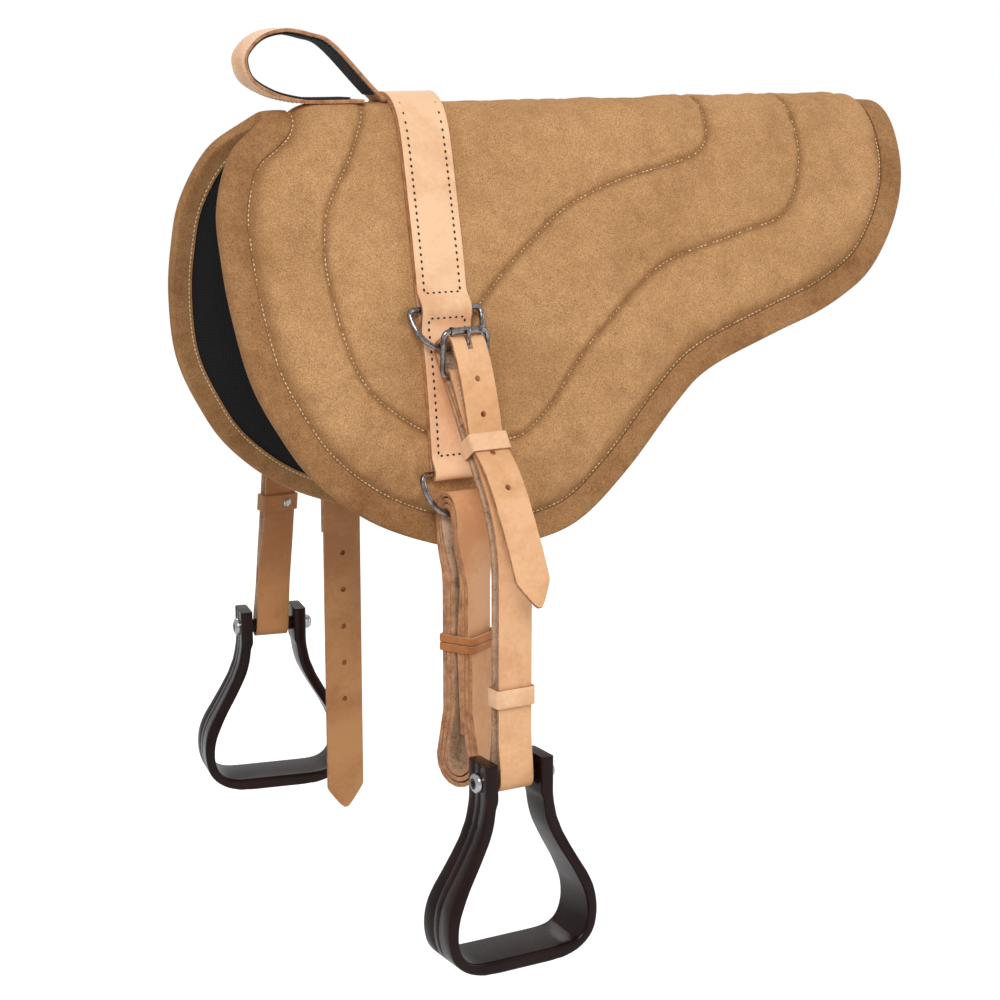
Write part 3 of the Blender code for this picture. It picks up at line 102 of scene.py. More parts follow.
# Stirrup leathers, buckles and keepers
LEATHER = 3.2 * MM
LEATHER_WIDTH = 32 * MM
PLY_PITCH = 3.5 * MM
EDGE_LIFT = 3.0 * MM
HEEL_DROP, HEEL_OFFSET = 26 * MM, 1.3 * MM
BULGE = 23.4 * MM
CHAPE_END = 70 * MM
LEATHER_HOLE = 2.6 * MM
HOLE_DROPS = (39 * MM, 68 * MM, 102 * MM, 136.5 * MM)
TIP_TAPER = 22.5 * MM
BUCKLE_WIRE = 2.4 * MM
BUCKLE_HALF = 21 * MM
BUCKLE_CORNER = 6 * MM
ROLLER_WALL = 1.0 * MM
ROLLER_LENGTH = 29 * MM
ROLLER_OUT, ROLLER_RISE = 25.4 * MM, 4.2 * MM
TONGUE_WIRE = 1.8 * MM
TONGUE_TIP = 2.5 * MM
KEEPER = 2.2 * MM
KEEPER_HEIGHT = 16 * MM
KEEPER_CLEARANCE = 0.4 * MM
RIVET_HEAD, RIVET_HEIGHT = 4.2 * MM, 1.4 * MM
TURN_START, TURN_END = 256 * MM, 322 * MM
LOOP_RUN = 42 * MM
MIDDLE_PLY = 2.4 * MM
SLOT_TOP, SLOT_BOTTOM = -1.4 * MM, 13 * MM
FOLD_SLOT_RUN = 14 * MM
FREE_JOINS, FLARE_START, PLIES_JOIN = 80 * MM, 102 * MM, 59 * MM
# Middle line of the free end over the heel bar: out in bulges, down
BULGE_LINE = (
    (0.440, 68.0 * MM), (0.640, 53.0 * MM), (0.810, 39.2 * MM), (0.940, 24.0 * MM),
    (1.000, 10.0 * MM), (1.000, 4.5 * MM), (0.925, 0.8 * MM), (0.800, -2.2 * MM),
    (0.500, -5.5 * MM))

# Stirrups
STIRRUP_HALF_WIDTH = 73 * MM
STIRRUP_DROP = 164 * MM
STIRRUP_RISE = 18 * MM
EAR = 11.8 * MM
ARM_DEPTH, TREAD_DEPTH = 34 * MM, 50 * MM
LEATHER_PLAY = 5 * MM
BOLT = 4.0 * MM
BOLT_HEAD, BOLT_HEAD_HEIGHT = 8.8 * MM, 4.2 * MM
NUT, NUT_HEIGHT, NUT_WALL = 7.2 * MM, 8.5 * MM, 3.0 * MM
SLEEVE, SLEEVE_WALL = 6.8 * MM, 2.4 * MM

# Latigo, billet and hand strap
LATIGO = 3.5 * MM
LATIGO_WIDTH = 38 * MM
LATIGO_LIFT = 4.2 * MM
HANK_PITCH = 4.1 * MM
HANK_HALF_TURNS = 6
HANK_LENGTH = 209 * MM
HANK_ARCH_SHARE = 1.3
HANK_SQUEEZE = 6.9 * MM
HANK_SAG = 2.8 * MM
HANK_SHIFT = 2.5 * MM
HANK_TURN, HANK_TURN_RUN = math.radians(30), 60 * MM
TIE, TIE_DROP = 2.0 * MM, 107 * MM
BILLET_LENGTH, BILLET_RETURN = 338 * MM, 60 * MM
BILLET_FIRST_HOLE, BILLET_HOLES, BILLET_PITCH = 81 * MM, 5, 36.5 * MM
HANDLE_PLY, HANDLE_LINING, HANDLE_WIDTH = 3.0 * MM, 1.8 * MM, 28 * MM
HANDLE_REACH, HANDLE_RISE = 130.5 * MM, 60 * MM

OUTLINE_SHARES = (
    (-0.431, 0.000), (-0.485, 0.090), (-0.513, 0.207), (-0.518, 0.324), (-0.515, 0.443),
    (-0.501, 0.583), (-0.471, 0.699), (-0.429, 0.808), (-0.359, 0.909), (-0.275, 0.974),
    (-0.207, 0.999), (-0.138, 0.993), (-0.078, 0.961), (-0.012, 0.865), (0.059, 0.734),
    (0.110, 0.667), (0.208, 0.609), (0.277, 0.572), (0.327, 0.533), (0.370, 0.486),
    (0.407, 0.416), (0.438, 0.334), (0.459, 0.249), (0.471, 0.159), (0.480, 0.073),
    (0.484, 0.000))
FRONT_CHANNEL_SHARES = (
    (-0.306, 0.000), (-0.330, 0.067), (-0.348, 0.123), (-0.371, 0.184), (-0.388, 0.237),
    (-0.396, 0.295), (-0.400, 0.361), (-0.397, 0.426), (-0.390, 0.501), (-0.374, 0.590),
    (-0.344, 0.659), (-0.286, 0.730), (-0.230, 0.755), (-0.173, 0.759), (-0.147, 0.743),
    (-0.113, 0.690), (-0.076, 0.610), (-0.041, 0.550), (0.034, 0.442), (0.085, 0.403),
    (0.144, 0.384), (0.187, 0.367), (0.232, 0.351), (0.260, 0.311), (0.279, 0.258),
    (0.294, 0.190), (0.303, 0.124), (0.313, 0.045), (0.315, 0.000))
REAR_CHANNEL_SHARES = (
    (-0.235, 0.520), (-0.202, 0.458), (-0.156, 0.382), (-0.111, 0.319), (-0.066, 0.262),
    (-0.015, 0.226), (0.035, 0.205), (0.103, 0.188), (0.139, 0.171), (0.159, 0.135),
    (0.168, 0.092), (0.177, 0.040), (0.179, 0.000))
STIRRUP_OUTER_SHARES = (
    (0.462, 0.140), (0.499, 0.220), (0.577, 0.309), (0.682, 0.396), (0.796, 0.484),
    (0.897, 0.561), (0.967, 0.634), (0.999, 0.713), (0.995, 0.793), (0.949, 0.874),
    (0.856, 0.930), (0.719, 0.971), (0.548, 0.994), (0.342, 1.000))
STIRRUP_INNER_SHARES = (
    (0.315, 0.122), (0.342, 0.201), (0.388, 0.274), (0.459, 0.341), (0.542, 0.409),
    (0.621, 0.468), (0.701, 0.529), (0.786, 0.605), (0.842, 0.666), (0.871, 0.732),
    (0.868, 0.799), (0.814, 0.867), (0.712, 0.907), (0.575, 0.923), (0.384, 0.926))
HANDLE_SHARES = (
    (0.016, 0.000), (0.130, 0.235), (0.400, 0.810), (0.564, 0.945), (0.730, 1.000),
    (0.890, 0.920), (1.000, 0.700), (1.010, 0.500), (0.960, 0.290), (0.810, 0.110),
    (0.640, 0.020), (0.500, 0.000), (0.170, 0.000))
TIP_SHARES = ((0.00, 0.10), (0.15, 0.30), (0.50, 0.62), (0.85, 0.93), (1.00, 1.00))
FLARE_SHARES = (
    (0.000, 0.000), (0.060, 0.070), (0.160, 0.145), (0.310, 0.190), (0.460, 0.235),
    (0.590, 0.332), (0.720, 0.495), (0.840, 0.675), (1.000, 1.000))

NUT_SHARES = (
    (0.00, 1.00), (0.35, 0.97), (0.65, 0.88), (0.86, 0.70), (0.93, 0.52), (0.94, 0.30),
    (1.00, 0.22), (1.00, 0.00))
BOLT_HEAD_SHARES = (
    (0.00, 0.72), (0.22, 0.72), (0.27, 1.00), (0.55, 0.97), (0.80, 0.80), (0.94, 0.55),
    (1.00, 0.30), (1.00, 0.00))
RIVET_SHARES = (
    (1.00, 0.35), (0.92, 0.62), (0.72, 0.86), (0.45, 0.97), (0.20, 0.93), (0.00, 0.90))

SIDES = {
    "near": {"sign": -1, "lean": math.radians(35.2), "lean_end": 118 * MM,
             "plumb_start": 224 * MM, "drift": -1 * MM, "turn": 0.0, "bolt_drop": 382 * MM,
             "tip_drop": 224 * MM, "upper_keeper": 92 * MM, "lower_keeper": 310 * MM,
             "flare": 37 * MM, "lower_ring_lean": math.radians(20)},
    "off": {"sign": 1, "lean": math.radians(52), "lean_end": 105 * MM,
            "plumb_start": 180 * MM, "drift": -29 * MM, "turn": -math.radians(12),
            "bolt_drop": 368 * MM, "tip_drop": 214 * MM, "upper_keeper": 92 * MM,
            "lower_keeper": 243 * MM, "flare": 0.0, "lower_ring_lean": math.radians(8)},
}

# Worked out from the sizes above
EDGE_HEIGHT = LINING + EDGE_FOAM + SUEDE + 2 * GAP
TOP_HEIGHT = EDGE_HEIGHT + LOFT
RIG_INNER = TOP_HEIGHT + GAP
RIG_OUTER = RIG_INNER + 2 * RIG_PLY
BAR_BORE = RING_WIRE + BAR_CLEARANCE
BAR_HEIGHT = RIG_INNER + RIG_PLY + BAR_BORE
TUNNEL_OUTER = BAR_HEIGHT + BAR_BORE + RIG_PLY
EAR_GAP_HALF = LEATHER_WIDTH / 2 + LEATHER_PLAY
BACK_PLY = -(RING_WIRE + EDGE_LIFT + LEATHER / 2)
CHAPE_PLY = MIDDLE_PLY - PLY_PITCH
FREE_PLY = MIDDLE_PLY + PLY_PITCH + GAP / 2
LOOP_RADIUS = SLEEVE + BAR_CLEARANCE + LEATHER / 2
LOOP_CENTRE = (MIDDLE_PLY + BACK_PLY) / 2
HEEL_RADIUS = BUCKLE_WIRE + BAR_CLEARANCE + LEATHER / 2
ROLLER = BUCKLE_WIRE + BAR_CLEARANCE + ROLLER_WALL
SLOT_HALF = TONGUE_WIRE + 2 * BAR_CLEARANCE
LATIGO_LOOP = RING_WIRE + LATIGO_LIFT + BAR_CLEARANCE + LATIGO / 2

# What only the looks need
COVER_STEP = 2.4 * MM            # faces of the suede
DRAPE_STEP = 5.0 * MM            # faces of the cloth that is blown up between its seams
DRAPE_CAP = 2.2 * MM             # and how far it may move
CLOTH_MOMENTS = 20
CLOTH_PRESSURE, CLOTH_STRETCH, CLOTH_BEND, CLOTH_SHRINK = 4.0, 12, 0.3, -0.03
GATHER_RISE, GATHER_SCALE, GATHER_REACH = 0.35 * MM, 95, 1.6 * CHANNEL_HALF
WAVE_RISE, WAVE_SCALE = 0.5 * MM, 22
STRAP_MARGIN, STRAP_FADE = 2 * MM, 18 * MM
TAIL_MARGIN, TAIL_FADE = 4 * MM, 16 * MM
RIDGE_HALF, RIDGE_FADE = 14 * MM, 16 * MM
HANDLE_FADE, RIG_FADE = 20 * MM, 10 * MM
# How far the painted shade reaches in the quilting channels and along the edge's stitch line
CHANNEL_SHADE_REACH, EDGE_SHADE_REACH = 3.2 * MM, 7 * MM
STRAP_STEP = 2.5 * MM
STITCH_PITCH = 4.2 * MM
STITCH, STITCH_WIDTH, STITCH_LIFT = 3.3 * MM, 1.3 * MM, 0.35 * MM
UNDER_STITCH, UNDER_STITCH_WIDTH = 3.2 * MM, 1.1 * MM
RIG_STITCH_PITCH = 5.9 * MM
RIG_STITCH, RIG_STITCH_WIDTH = 3.4 * MM, 2.2 * MM
RIG_STITCH_INSET = 6.6 * MM
CHAPE_STITCH_PITCH, CHAPE_STITCH_ACROSS = 4.4 * MM, 11.5 * MM
HANDLE_STITCH_PITCH, HANDLE_STITCH_INSET = 3.9 * MM, 4 * MM
THREAD_LIFT = 0.1 * MM
UNDER_LEAF = 15 * MM             # the binding reaches less far under the lining
MOULD_LINES = (-4.6 * MM, 4.6 * MM)
STIRRUP_ROUND, STIRRUP_BEVEL = 3.0 * MM, 2.6 * MM
MOULD_LINE = ((-0.5 * MM, 0.0), (-0.2 * MM, 0.3 * MM), (0.2 * MM, 0.3 * MM), (0.5 * MM, 0.0))
STIRRUP_SECTIONS = 90
LACE_WIDTH, LACE_SPREAD = 6.8 * MM, 3.8 * MM
RIG_BOX_END, RIG_BOX = 166 * MM, (187 * MM, 301 * MM)

# The studio
FLOOR_DROP, FLOOR_GLOW, WORLD_LIGHT = 0.30, 0.54, 0.54
LAMPS = (("key", (-1.6, -2.2, 1.9), 1.3, 52), ("fill", (2.2, -1.6, 0.6), 2.0, 14),
         ("back", (0.4, 2.2, 1.6), 1.6, 14))
LAMPS_AIM = Vector((0, 0, -0.3))
CAMERA_LENS = (79.2, 36)
CAMERA_PLACE = (-1.0796, -1.7399, 0.0751)
CAMERA_TURN = (math.radians(78), 0, math.radians(-30))


# Lines and surfaces, all on arrays of numbers

def smooth(t):
    t = np.clip(t, 0.0, 1.0)
    return t * t * (3 - 2 * t)


def mix(a, b, t):
    return a + (b - a) * t


def unit(vectors):
    return vectors / np.linalg.norm(vectors, axis=-1, keepdims=True)


def spline_through(points, steps):
    """A smooth line through the points, with steps to each span."""
    points = [tuple(p) for p in points]
    line = []
    for i in range(len(points) - 1):
        four = [points[min(max(i + k, 0), len(points) - 1)] for k in (-1, 0, 1, 2)]
        for j in range(steps):
            t = j / steps
            line.append(tuple(
                0.5 * (2 * b + (c - a) * t + (2 * a - 5 * b + 4 * c - d) * t ** 2
                       + (3 * b - a - 3 * c + d) * t ** 3)
                for a, b, c, d in zip(*four)))
    line.append(points[-1])
    return line


def arc(centre, radius, start, end, steps):
    return [(centre[0] + radius * math.cos(mix(start, end, i / steps)),
             centre[1] + radius * math.sin(mix(start, end, i / steps)))
            for i in range(steps + 1)]


def rounded_box(high, low, half, radius, steps):
    """Round a box, whose corners' centres lie at high and low across, and half up and down."""
    line = []
    for quarter, centre in enumerate(((high, half), (low, half), (low, -half), (high, -half))):
        first = quarter * math.pi / 2
        line += arc(centre, radius, first, first + math.pi / 2, steps)
    return line


def lead(out_from, out_to, down_from, down_to, steps, first=0):
    """A strap's path from one distance out to another, eased at both ends."""
    shares = [k / steps for k in range(first, steps + 1)]
    return [(mix(out_from, out_to, float(smooth(t))), mix(down_from, down_to, t))
            for t in shares]


def lengths_along(line):
    return np.r_[0.0, np.cumsum(np.linalg.norm(np.diff(line, axis=0), axis=1))]


def evenly(line, step):
    """The same line with points at even spacing."""
    line = np.asarray(line, float)
    reach = lengths_along(line)
    count = max(2, round(reach[-1] / step))
    marks = np.linspace(0, reach[-1], count + 1)
    return np.stack([np.interp(marks, reach, column) for column in line.T], axis=1)


def eased(path, longest=5 * MM, steps=4):
    """A strap's path with its corners eased into curves."""
    divided = [path[0]]
    for a, b in zip(path, path[1:]):
        pieces = max(1, math.ceil(math.dist(a, b) / longest))
        divided += [tuple(mix(p, q, k / pieces) for p, q in zip(a, b))
                    for k in range(1, pieces + 1)]
    return spline_through(divided, steps)


def shifted(line, distance):
    """A line moved sideways, to the left of its run."""
    line = np.asarray(line, float)
    along = unit(np.gradient(line, axis=0))
    return line + distance * np.stack([-along[:, 1], along[:, 0]], axis=1)


def distance_to(line, x, s):
    """Shortest distance from each point to a line."""
    best = np.full(x.shape, 1.0)
    for (ax, ay), (bx, by) in zip(line[:-1], line[1:]):
        dx, dy = bx - ax, by - ay
        t = np.clip(((x - ax) * dx + (s - ay) * dy) / (dx * dx + dy * dy), 0, 1)
        best = np.minimum(best, np.hypot(x - ax - dx * t, s - ay - dy * t))
    return best


def within(x, s, edge):
    """Whether each point lies within the flap's outline."""
    inside = np.zeros(x.shape, bool)
    for (ax, ay), (bx, by) in zip(edge[:-1], edge[1:]):
        if ay != by:
            crosses = ((ay > s) != (by > s)) & (x < ax + (bx - ax) * (s - ay) / (by - ay))
            inside ^= crosses
    return inside


def section_share(x):
    return smooth((x - FRONT_SECTION_X) / (REAR_SECTION_X - FRONT_SECTION_X))


def slope(share, s):
    bend = mix(FRONT_BEND, REAR_BEND, share)
    droop = mix(FRONT_DROOP, REAR_DROOP, share)
    return (mix(FRONT_SLOPE, REAR_SLOPE, share) * (1 - np.exp(-s / bend))
            + droop * smooth((s - DROOP_START) / (DROOP_END - DROOP_START)))


def fold_table():
    """How far out and down the flap has come, for each section and distance."""
    shares = np.linspace(0, 1, FOLD_SECTIONS)[:, None]
    angles = slope(shares, (np.arange(TABLE_STEPS)[None, :] + 0.5) * TABLE_STEP)
    start = np.zeros((len(shares), 1))
    return [np.hstack([start, np.cumsum(way(angles), axis=1) * TABLE_STEP])
            for way in (np.cos, np.sin)]


FOLD_OUT, FOLD_DROP = fold_table()


def on_pad(x, s, height):
    """Points of the flat pattern on the folded pad; negative s is the near side."""
    x, s, height = np.broadcast_arrays(*(np.asarray(v, float) for v in (x, s, height)))
    share = section_share(x)
    row = share * (len(FOLD_OUT) - 1)
    column = np.abs(s) / TABLE_STEP
    i = np.minimum(row.astype(int), len(FOLD_OUT) - 2)
    j = np.minimum(column.astype(int), FOLD_OUT.shape[1] - 2)
    u, v = row - i, column - j

    def read(table):
        return mix(mix(table[i, j], table[i, j + 1], v),
                   mix(table[i + 1, j], table[i + 1, j + 1], v), u)

    angle = slope(share, np.abs(s))
    out = read(FOLD_OUT) + height * np.sin(angle)
    up = height * np.cos(angle) - read(FOLD_DROP)
    return np.stack([x, np.where(s < 0, -out, out), up], axis=-1)


def pattern_line(shares, steps):
    return np.array(spline_through([(x * PAD_LENGTH, s * FLAP_DEPTH) for x, s in shares],
                                   steps))


def flap_edge():
    """The cut edge of one half, square to the spine at both ends."""
    half = [(x * PAD_LENGTH, s * FLAP_DEPTH) for x, s in OUTLINE_SHARES]
    mirrored = [(x, -s) for x, s in half[1:3]][::-1]
    rear = [(x, -s) for x, s in half[-3:-1]][::-1]
    steps = 8
    fine = spline_through(mirrored + half + rear, steps)
    return np.array(fine[2 * steps:len(fine) - 2 * steps])


EDGE = flap_edge()
FRONT_CHANNEL = pattern_line(FRONT_CHANNEL_SHARES, 3)
REAR_CHANNEL = pattern_line(REAR_CHANNEL_SHARES, 3)


def inset(line, distance):
    """The cut edge's line moved inwards, square to the spine at its ends."""
    along = np.gradient(line, axis=0)
    along[0] = along[-1] = (0, 1)
    along[-1, 1] = -1
    along = unit(along)
    moved = line + distance * np.stack([along[:, 1], -along[:, 0]], axis=1)
    moved[[0, -1], 1] = 0.0
    return moved


def ripple(x, s, scale, seed):
    """Soft unevenness from -1 to 1."""
    flat = [noise.noise(Vector((a * scale, b * scale, seed)))
            for a, b in zip(np.ravel(x), np.ravel(s))]
    return np.array(flat).reshape(np.shape(x))


def channel_gap(x, s):
    return np.minimum(distance_to(FRONT_CHANNEL, x, s), distance_to(REAR_CHANNEL, x, s))


def top_height(x, s, side=1):
    """Outer face of the suede above the pad's underside."""
    s = np.abs(s)
    edge_gap = distance_to(EDGE, x, s)
    t = np.clip((edge_gap - STITCH_INSET) / LOFT_RUN, 0, 1)
    rise = LOFT * (1 - (1 - t) ** 2)
    near = channel_gap(x, s)
    dip = CHANNEL_DIP * np.clip(1 - near / CHANNEL_HALF, 0, 1) ** 2
    dip = np.maximum(dip, SEAM_DIP * np.clip(1 - s / SEAM_HALF, 0, 1) ** 2)
    height = EDGE_HEIGHT + rise - np.minimum(dip, rise)
    gathers = smooth(1 - near / GATHER_REACH) * smooth(near / (3 * MM))
    gathers += smooth(1 - edge_gap / (STITCH_INSET + LOFT_RUN)) * (edge_gap > STITCH_INSET)
    height += GATHER_RISE * gathers * ripple(x, s, GATHER_SCALE, side * 3.0)
    height += WAVE_RISE * t * clear_of_strap(x, s) * ripple(x, s, WAVE_SCALE, side * 7.0)
    return height


def clear_of_strap(x, s):
    """0 under the rigging strap, the rings and the hand strap, and 1 away from them."""
    middle = RIG_X + RIG_SLANT * np.clip(1 - np.abs(s) / (UPPER_BAR - TUNNEL_HALF), 0, 1)
    strap = smooth((np.abs(x - middle) - RIG_WIDTH / 2 - STRAP_MARGIN) / STRAP_FADE)
    beyond = smooth((np.abs(s) - LOWER_BAR - TAIL_MARGIN) / TAIL_FADE)
    handle_end = RIG_X + RIG_SLANT - RIG_WIDTH / 2 - HANDLE_REACH
    ahead = smooth((handle_end - x) / HANDLE_FADE) + smooth((x - RIG_X) / RIG_FADE)
    ridge = np.maximum(smooth((np.abs(s) - RIDGE_HALF) / RIDGE_FADE), np.minimum(ahead, 1))
    return np.maximum(strap, beyond) * ridge


# Pieces, made as by hand

def deselect():
    if bpy.context.mode != "OBJECT":
        bpy.ops.object.mode_set(mode="OBJECT")
    bpy.ops.object.select_all(action="DESELECT")


def pick(*pieces):
    deselect()
    for piece in pieces:
        piece.select_set(True)
    bpy.context.view_layer.objects.active = pieces[0]


def points_of(piece):
    flat = np.zeros(len(piece.data.vertices) * 3)
    piece.data.vertices.foreach_get("co", flat)
    return flat.reshape(-1, 3)


def put_points(piece, points):
    piece.data.vertices.foreach_set("co", np.ascontiguousarray(points, float).ravel())
    piece.data.update()


def put_uv(piece, uv_of_point):
    """Gives every corner of a face its point's place on the pattern."""
    layer = piece.data.uv_layers.active or piece.data.uv_layers.new()
    corners = np.zeros(len(piece.data.loops), int)
    piece.data.loops.foreach_get("vertex_index", corners)
    layer.data.foreach_set("uv", uv_of_point[corners].ravel())


def use_modifier(piece, kind, **settings):
    pick(piece)
    modifier = piece.modifiers.new(kind.lower(), kind)
    for name, value in settings.items():
        setattr(modifier, name, value)
    bpy.ops.object.modifier_apply(modifier=modifier.name)


def grid_of(name, columns, rows):
    """A flat grid one unit wide, with its points as shares from 0 to 1."""
    deselect()
    bpy.ops.mesh.primitive_grid_add(x_subdivisions=columns, y_subdivisions=rows, size=1)
    piece = bpy.context.object
    piece.name = name
    return piece, points_of(piece)[:, :2] + 0.5


def put_in_scene(name, data):
    thing = bpy.data.objects.new(name, data)
    bpy.context.scene.collection.objects.link(thing)
    return thing


def mesh_piece(name, points, faces):
    mesh = bpy.data.meshes.new(name)
    mesh.from_pydata([tuple(p) for p in points], [], [tuple(f) for f in faces])
    return put_in_scene(name, mesh)


def faces_between(count, ring):
    """Faces between closed rings of points, the last of them joined to the first."""
    return [(i * ring + k, i * ring + (k + 1) % ring,
             (i + 1) % count * ring + (k + 1) % ring, (i + 1) % count * ring + k)
            for i in range(count) for k in range(ring)]


def edit(piece, *steps, select="SELECT"):
    """Takes the steps in edit mode, with the whole piece selected or none of it."""
    pick(piece)
    bpy.ops.object.mode_set(mode="EDIT")
    bpy.ops.mesh.select_all(action=select)
    for step, settings in steps:
        step(**settings)
    bpy.ops.object.mode_set(mode="OBJECT")


def weld(piece):
    edit(piece, (bpy.ops.mesh.remove_doubles, {"threshold": WELD}))


def face_outwards(piece):
    edit(piece, (bpy.ops.mesh.remove_doubles, {"threshold": WELD}),
         (bpy.ops.mesh.normals_make_consistent, {"inside": False}))


def turn_over(piece):
    edit(piece, (bpy.ops.mesh.flip_normals, {}))


def done(piece, body, finishes=None, replaces=(), angle=40):
    """Smooths a piece, gives it its finishes and hangs it on its body."""
    pick(piece)
    bpy.ops.object.shade_smooth_by_angle(angle=math.radians(angle))
    if finishes:
        for finish in finishes:
            piece.data.materials.append(finish)
    piece.data.name = piece.name
    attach(piece, body)
    if replaces:
        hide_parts(*replaces)
    return piece


def moved_by(piece, matrix):
    piece.data.transform(matrix)
    piece.data.update()


def hollow_out(piece, cutters):
    """Cuts several cutters out of a piece at once."""
    pick(*cutters)
    if len(cutters) > 1:
        bpy.ops.object.join()
    cutter = cutters[0]
    use_modifier(piece, "BOOLEAN", object=cutter, operation="DIFFERENCE", solver="EXACT")
    bpy.data.objects.remove(cutter)


def peg(radius, centre, direction, length, sides=20):
    deselect()
    bpy.ops.mesh.primitive_cylinder_add(vertices=sides, radius=radius, depth=length)
    piece = bpy.context.object
    turn = Vector((0, 0, 1)).rotation_difference(Vector(direction)).to_matrix().to_4x4()
    moved_by(piece, Matrix.Translation(centre) @ turn)
    return piece


def block(low, high):
    deselect()
    bpy.ops.mesh.primitive_cube_add(size=1)
    piece = bpy.context.object
    low, high = np.array(low), np.array(high)
    put_points(piece, low + (points_of(piece) + 0.5) * (high - low))
    return piece


def wire(name, line, radius, closed, sides=3):
    """Round wire bent along a line."""
    curve = bpy.data.curves.new(name, "CURVE")
    curve.dimensions = "3D"
    curve.bevel_depth = radius
    curve.bevel_resolution = sides
    curve.use_fill_caps = not closed
    spline = curve.splines.new("POLY")
    spline.points.add(len(line) - 1)
    for point, place in zip(spline.points, line):
        point.co = (*place, 1)
    spline.use_cyclic_u = closed
    pick(put_in_scene(name, curve))
    bpy.ops.object.convert(target="MESH")
    piece = bpy.context.object
    face_outwards(piece)
    return piece


def turned(name, profile, steps=48):
    """A profile of radius and height turned about X."""
    piece = mesh_piece(name, [(height, radius, 0) for radius, height in profile], [])
    edges = [(i, i + 1) for i in range(len(profile) - 1)]
    piece.data.edges.add(len(edges))
    for edge, pair in zip(piece.data.edges, edges):
        edge.vertices = pair
    use_modifier(piece, "SCREW", axis="X", steps=steps, render_steps=steps,
                 use_merge_vertices=True, merge_threshold=WELD)
    face_outwards(piece)
    return piece


def strap(name, path, width, thickness, finishes, tip=0.0, rows=8, closed=False,
          step=STRAP_STEP, edge=0.6 * MM):
    """A strap along its middle line, grain side to the left of its run.
    Its own measures are out, down and across; its pattern runs along and across it."""
    line = evenly(eased(path), step)
    reach = lengths_along(line)
    piece, share = grid_of(name, len(line) - 1, rows)
    index = share[:, 0] * (len(line) - 1)
    along = np.interp(index, np.arange(len(line)), reach)
    half = np.full(len(share), width / 2)
    if tip:
        marks, widths = zip(*TIP_SHARES)
        half *= np.interp(along / tip, marks, widths)
    across = (0.5 - share[:, 1]) * 2 * half
    out = np.interp(index, np.arange(len(line)), line[:, 0])
    down = np.interp(index, np.arange(len(line)), line[:, 1])
    put_points(piece, np.stack([out, down, across], axis=1))
    put_uv(piece, np.stack([along, (0.5 - share[:, 1]) * width], axis=1))
    for finish in finishes:
        piece.data.materials.append(finish)
    if closed:
        weld(piece)
    use_modifier(piece, "SOLIDIFY", thickness=thickness, offset=0, use_even_offset=True,
                 material_offset=1, material_offset_rim=2)
    use_modifier(piece, "BEVEL", width=edge, segments=2, limit_method="ANGLE",
                 angle_limit=math.radians(50))
    return piece


def lay(piece, place):
    """Moves every point of a piece to where the function puts it."""
    put_points(piece, place(*points_of(piece).T))
    face_outwards(piece)
    return piece


def stitches(name, centres, along, normals, length, width, finish, body, slot, sink=0.35):
    """Many short stitches in one piece, each a bead whose ends go down into the leather."""
    deselect()
    bpy.ops.mesh.primitive_uv_sphere_add(segments=6, ring_count=4, radius=0.5)
    bead = bpy.context.object
    shape = points_of(bead)
    faces = [tuple(f.vertices) for f in bead.data.polygons]
    bpy.data.objects.remove(bead)
    shape = shape[:, [2, 0, 1]]
    shape[:, 2] -= sink * (2 * shape[:, 0]) ** 2
    across = np.cross(normals, along)
    placed = (centres[:, None, :] + shape[None, :, 0, None] * length * along[:, None, :]
              + shape[None, :, 1, None] * width * across[:, None, :]
              + shape[None, :, 2, None] * width * 0.8 * normals[:, None, :])
    count = len(shape)
    points = placed.reshape(-1, 3)
    all_faces = [tuple(i + k * count for i in f) for k in range(len(centres)) for f in faces]
    piece = mesh_piece(name, points, all_faces)
    return done(piece, body, [finish], angle=80)


# Finishes

def feed(tree, socket, value):
    """Gives a socket a value, or links another node's socket to it."""
    if isinstance(value, bpy.types.NodeSocket):
        tree.links.new(value, socket)
    else:
        socket.default_value = value


def node(tree, kind, inputs=None, **settings):
    made = tree.nodes.new("ShaderNode" + kind)
    for name, value in settings.items():
        setattr(made, name, value)
    for name, value in (inputs or {}).items():
        feed(tree, made.inputs[name], value)
    return made


def grain(tree, where, scale, detail=3.0, roughness=0.5, distortion=0.0):
    return node(tree, "TexNoise", {"Vector": where, "Scale": scale, "Detail": detail,
                                   "Roughness": roughness,
                                   "Distortion": distortion}).outputs["Fac"]


def ramp(tree, factor, *stops):
    made = node(tree, "ValToRGB", {"Fac": factor})
    elements = made.color_ramp.elements
    while len(elements) < len(stops):
        elements.new(0.5)
    for element, (place, colour) in zip(elements, stops):
        element.position = place
        element.color = (*colour, 1) if len(colour) == 3 else colour
    return made.outputs["Color"]


def level(tree, factor, low, high, out_low=0.0, out_high=1.0):
    return node(tree, "MapRange", {"Value": factor, "From Min": low, "From Max": high,
                                   "To Min": out_low, "To Max": out_high},
                interpolation_type="SMOOTHSTEP").outputs["Result"]


def sums(tree, operation, a, b):
    made = node(tree, "Math", operation=operation)
    for socket, value in zip(made.inputs, (a, b)):
        feed(tree, socket, value)
    return made.outputs["Value"]


def weighted(tree, *parts):
    """The sum of several factors, each times its weight."""
    total = None
    for factor, weight in parts:
        part = sums(tree, "MULTIPLY", factor, weight)
        total = part if total is None else sums(tree, "ADD", total, part)
    return total


def blended(tree, factor, first, second, way="MIX"):
    made = node(tree, "Mix", data_type="RGBA", blend_type=way)
    for index, value in ((0, factor), (6, first), (7, second)):
        feed(tree, made.inputs[index], (*value, 1) if isinstance(value, tuple) else value)
    return made.outputs[2]


def relief(tree, height, distance, strength=1.0, under=None):
    inputs = {"Height": height, "Distance": distance, "Strength": strength}
    if under:
        inputs["Normal"] = under
    return node(tree, "Bump", inputs).outputs["Normal"]


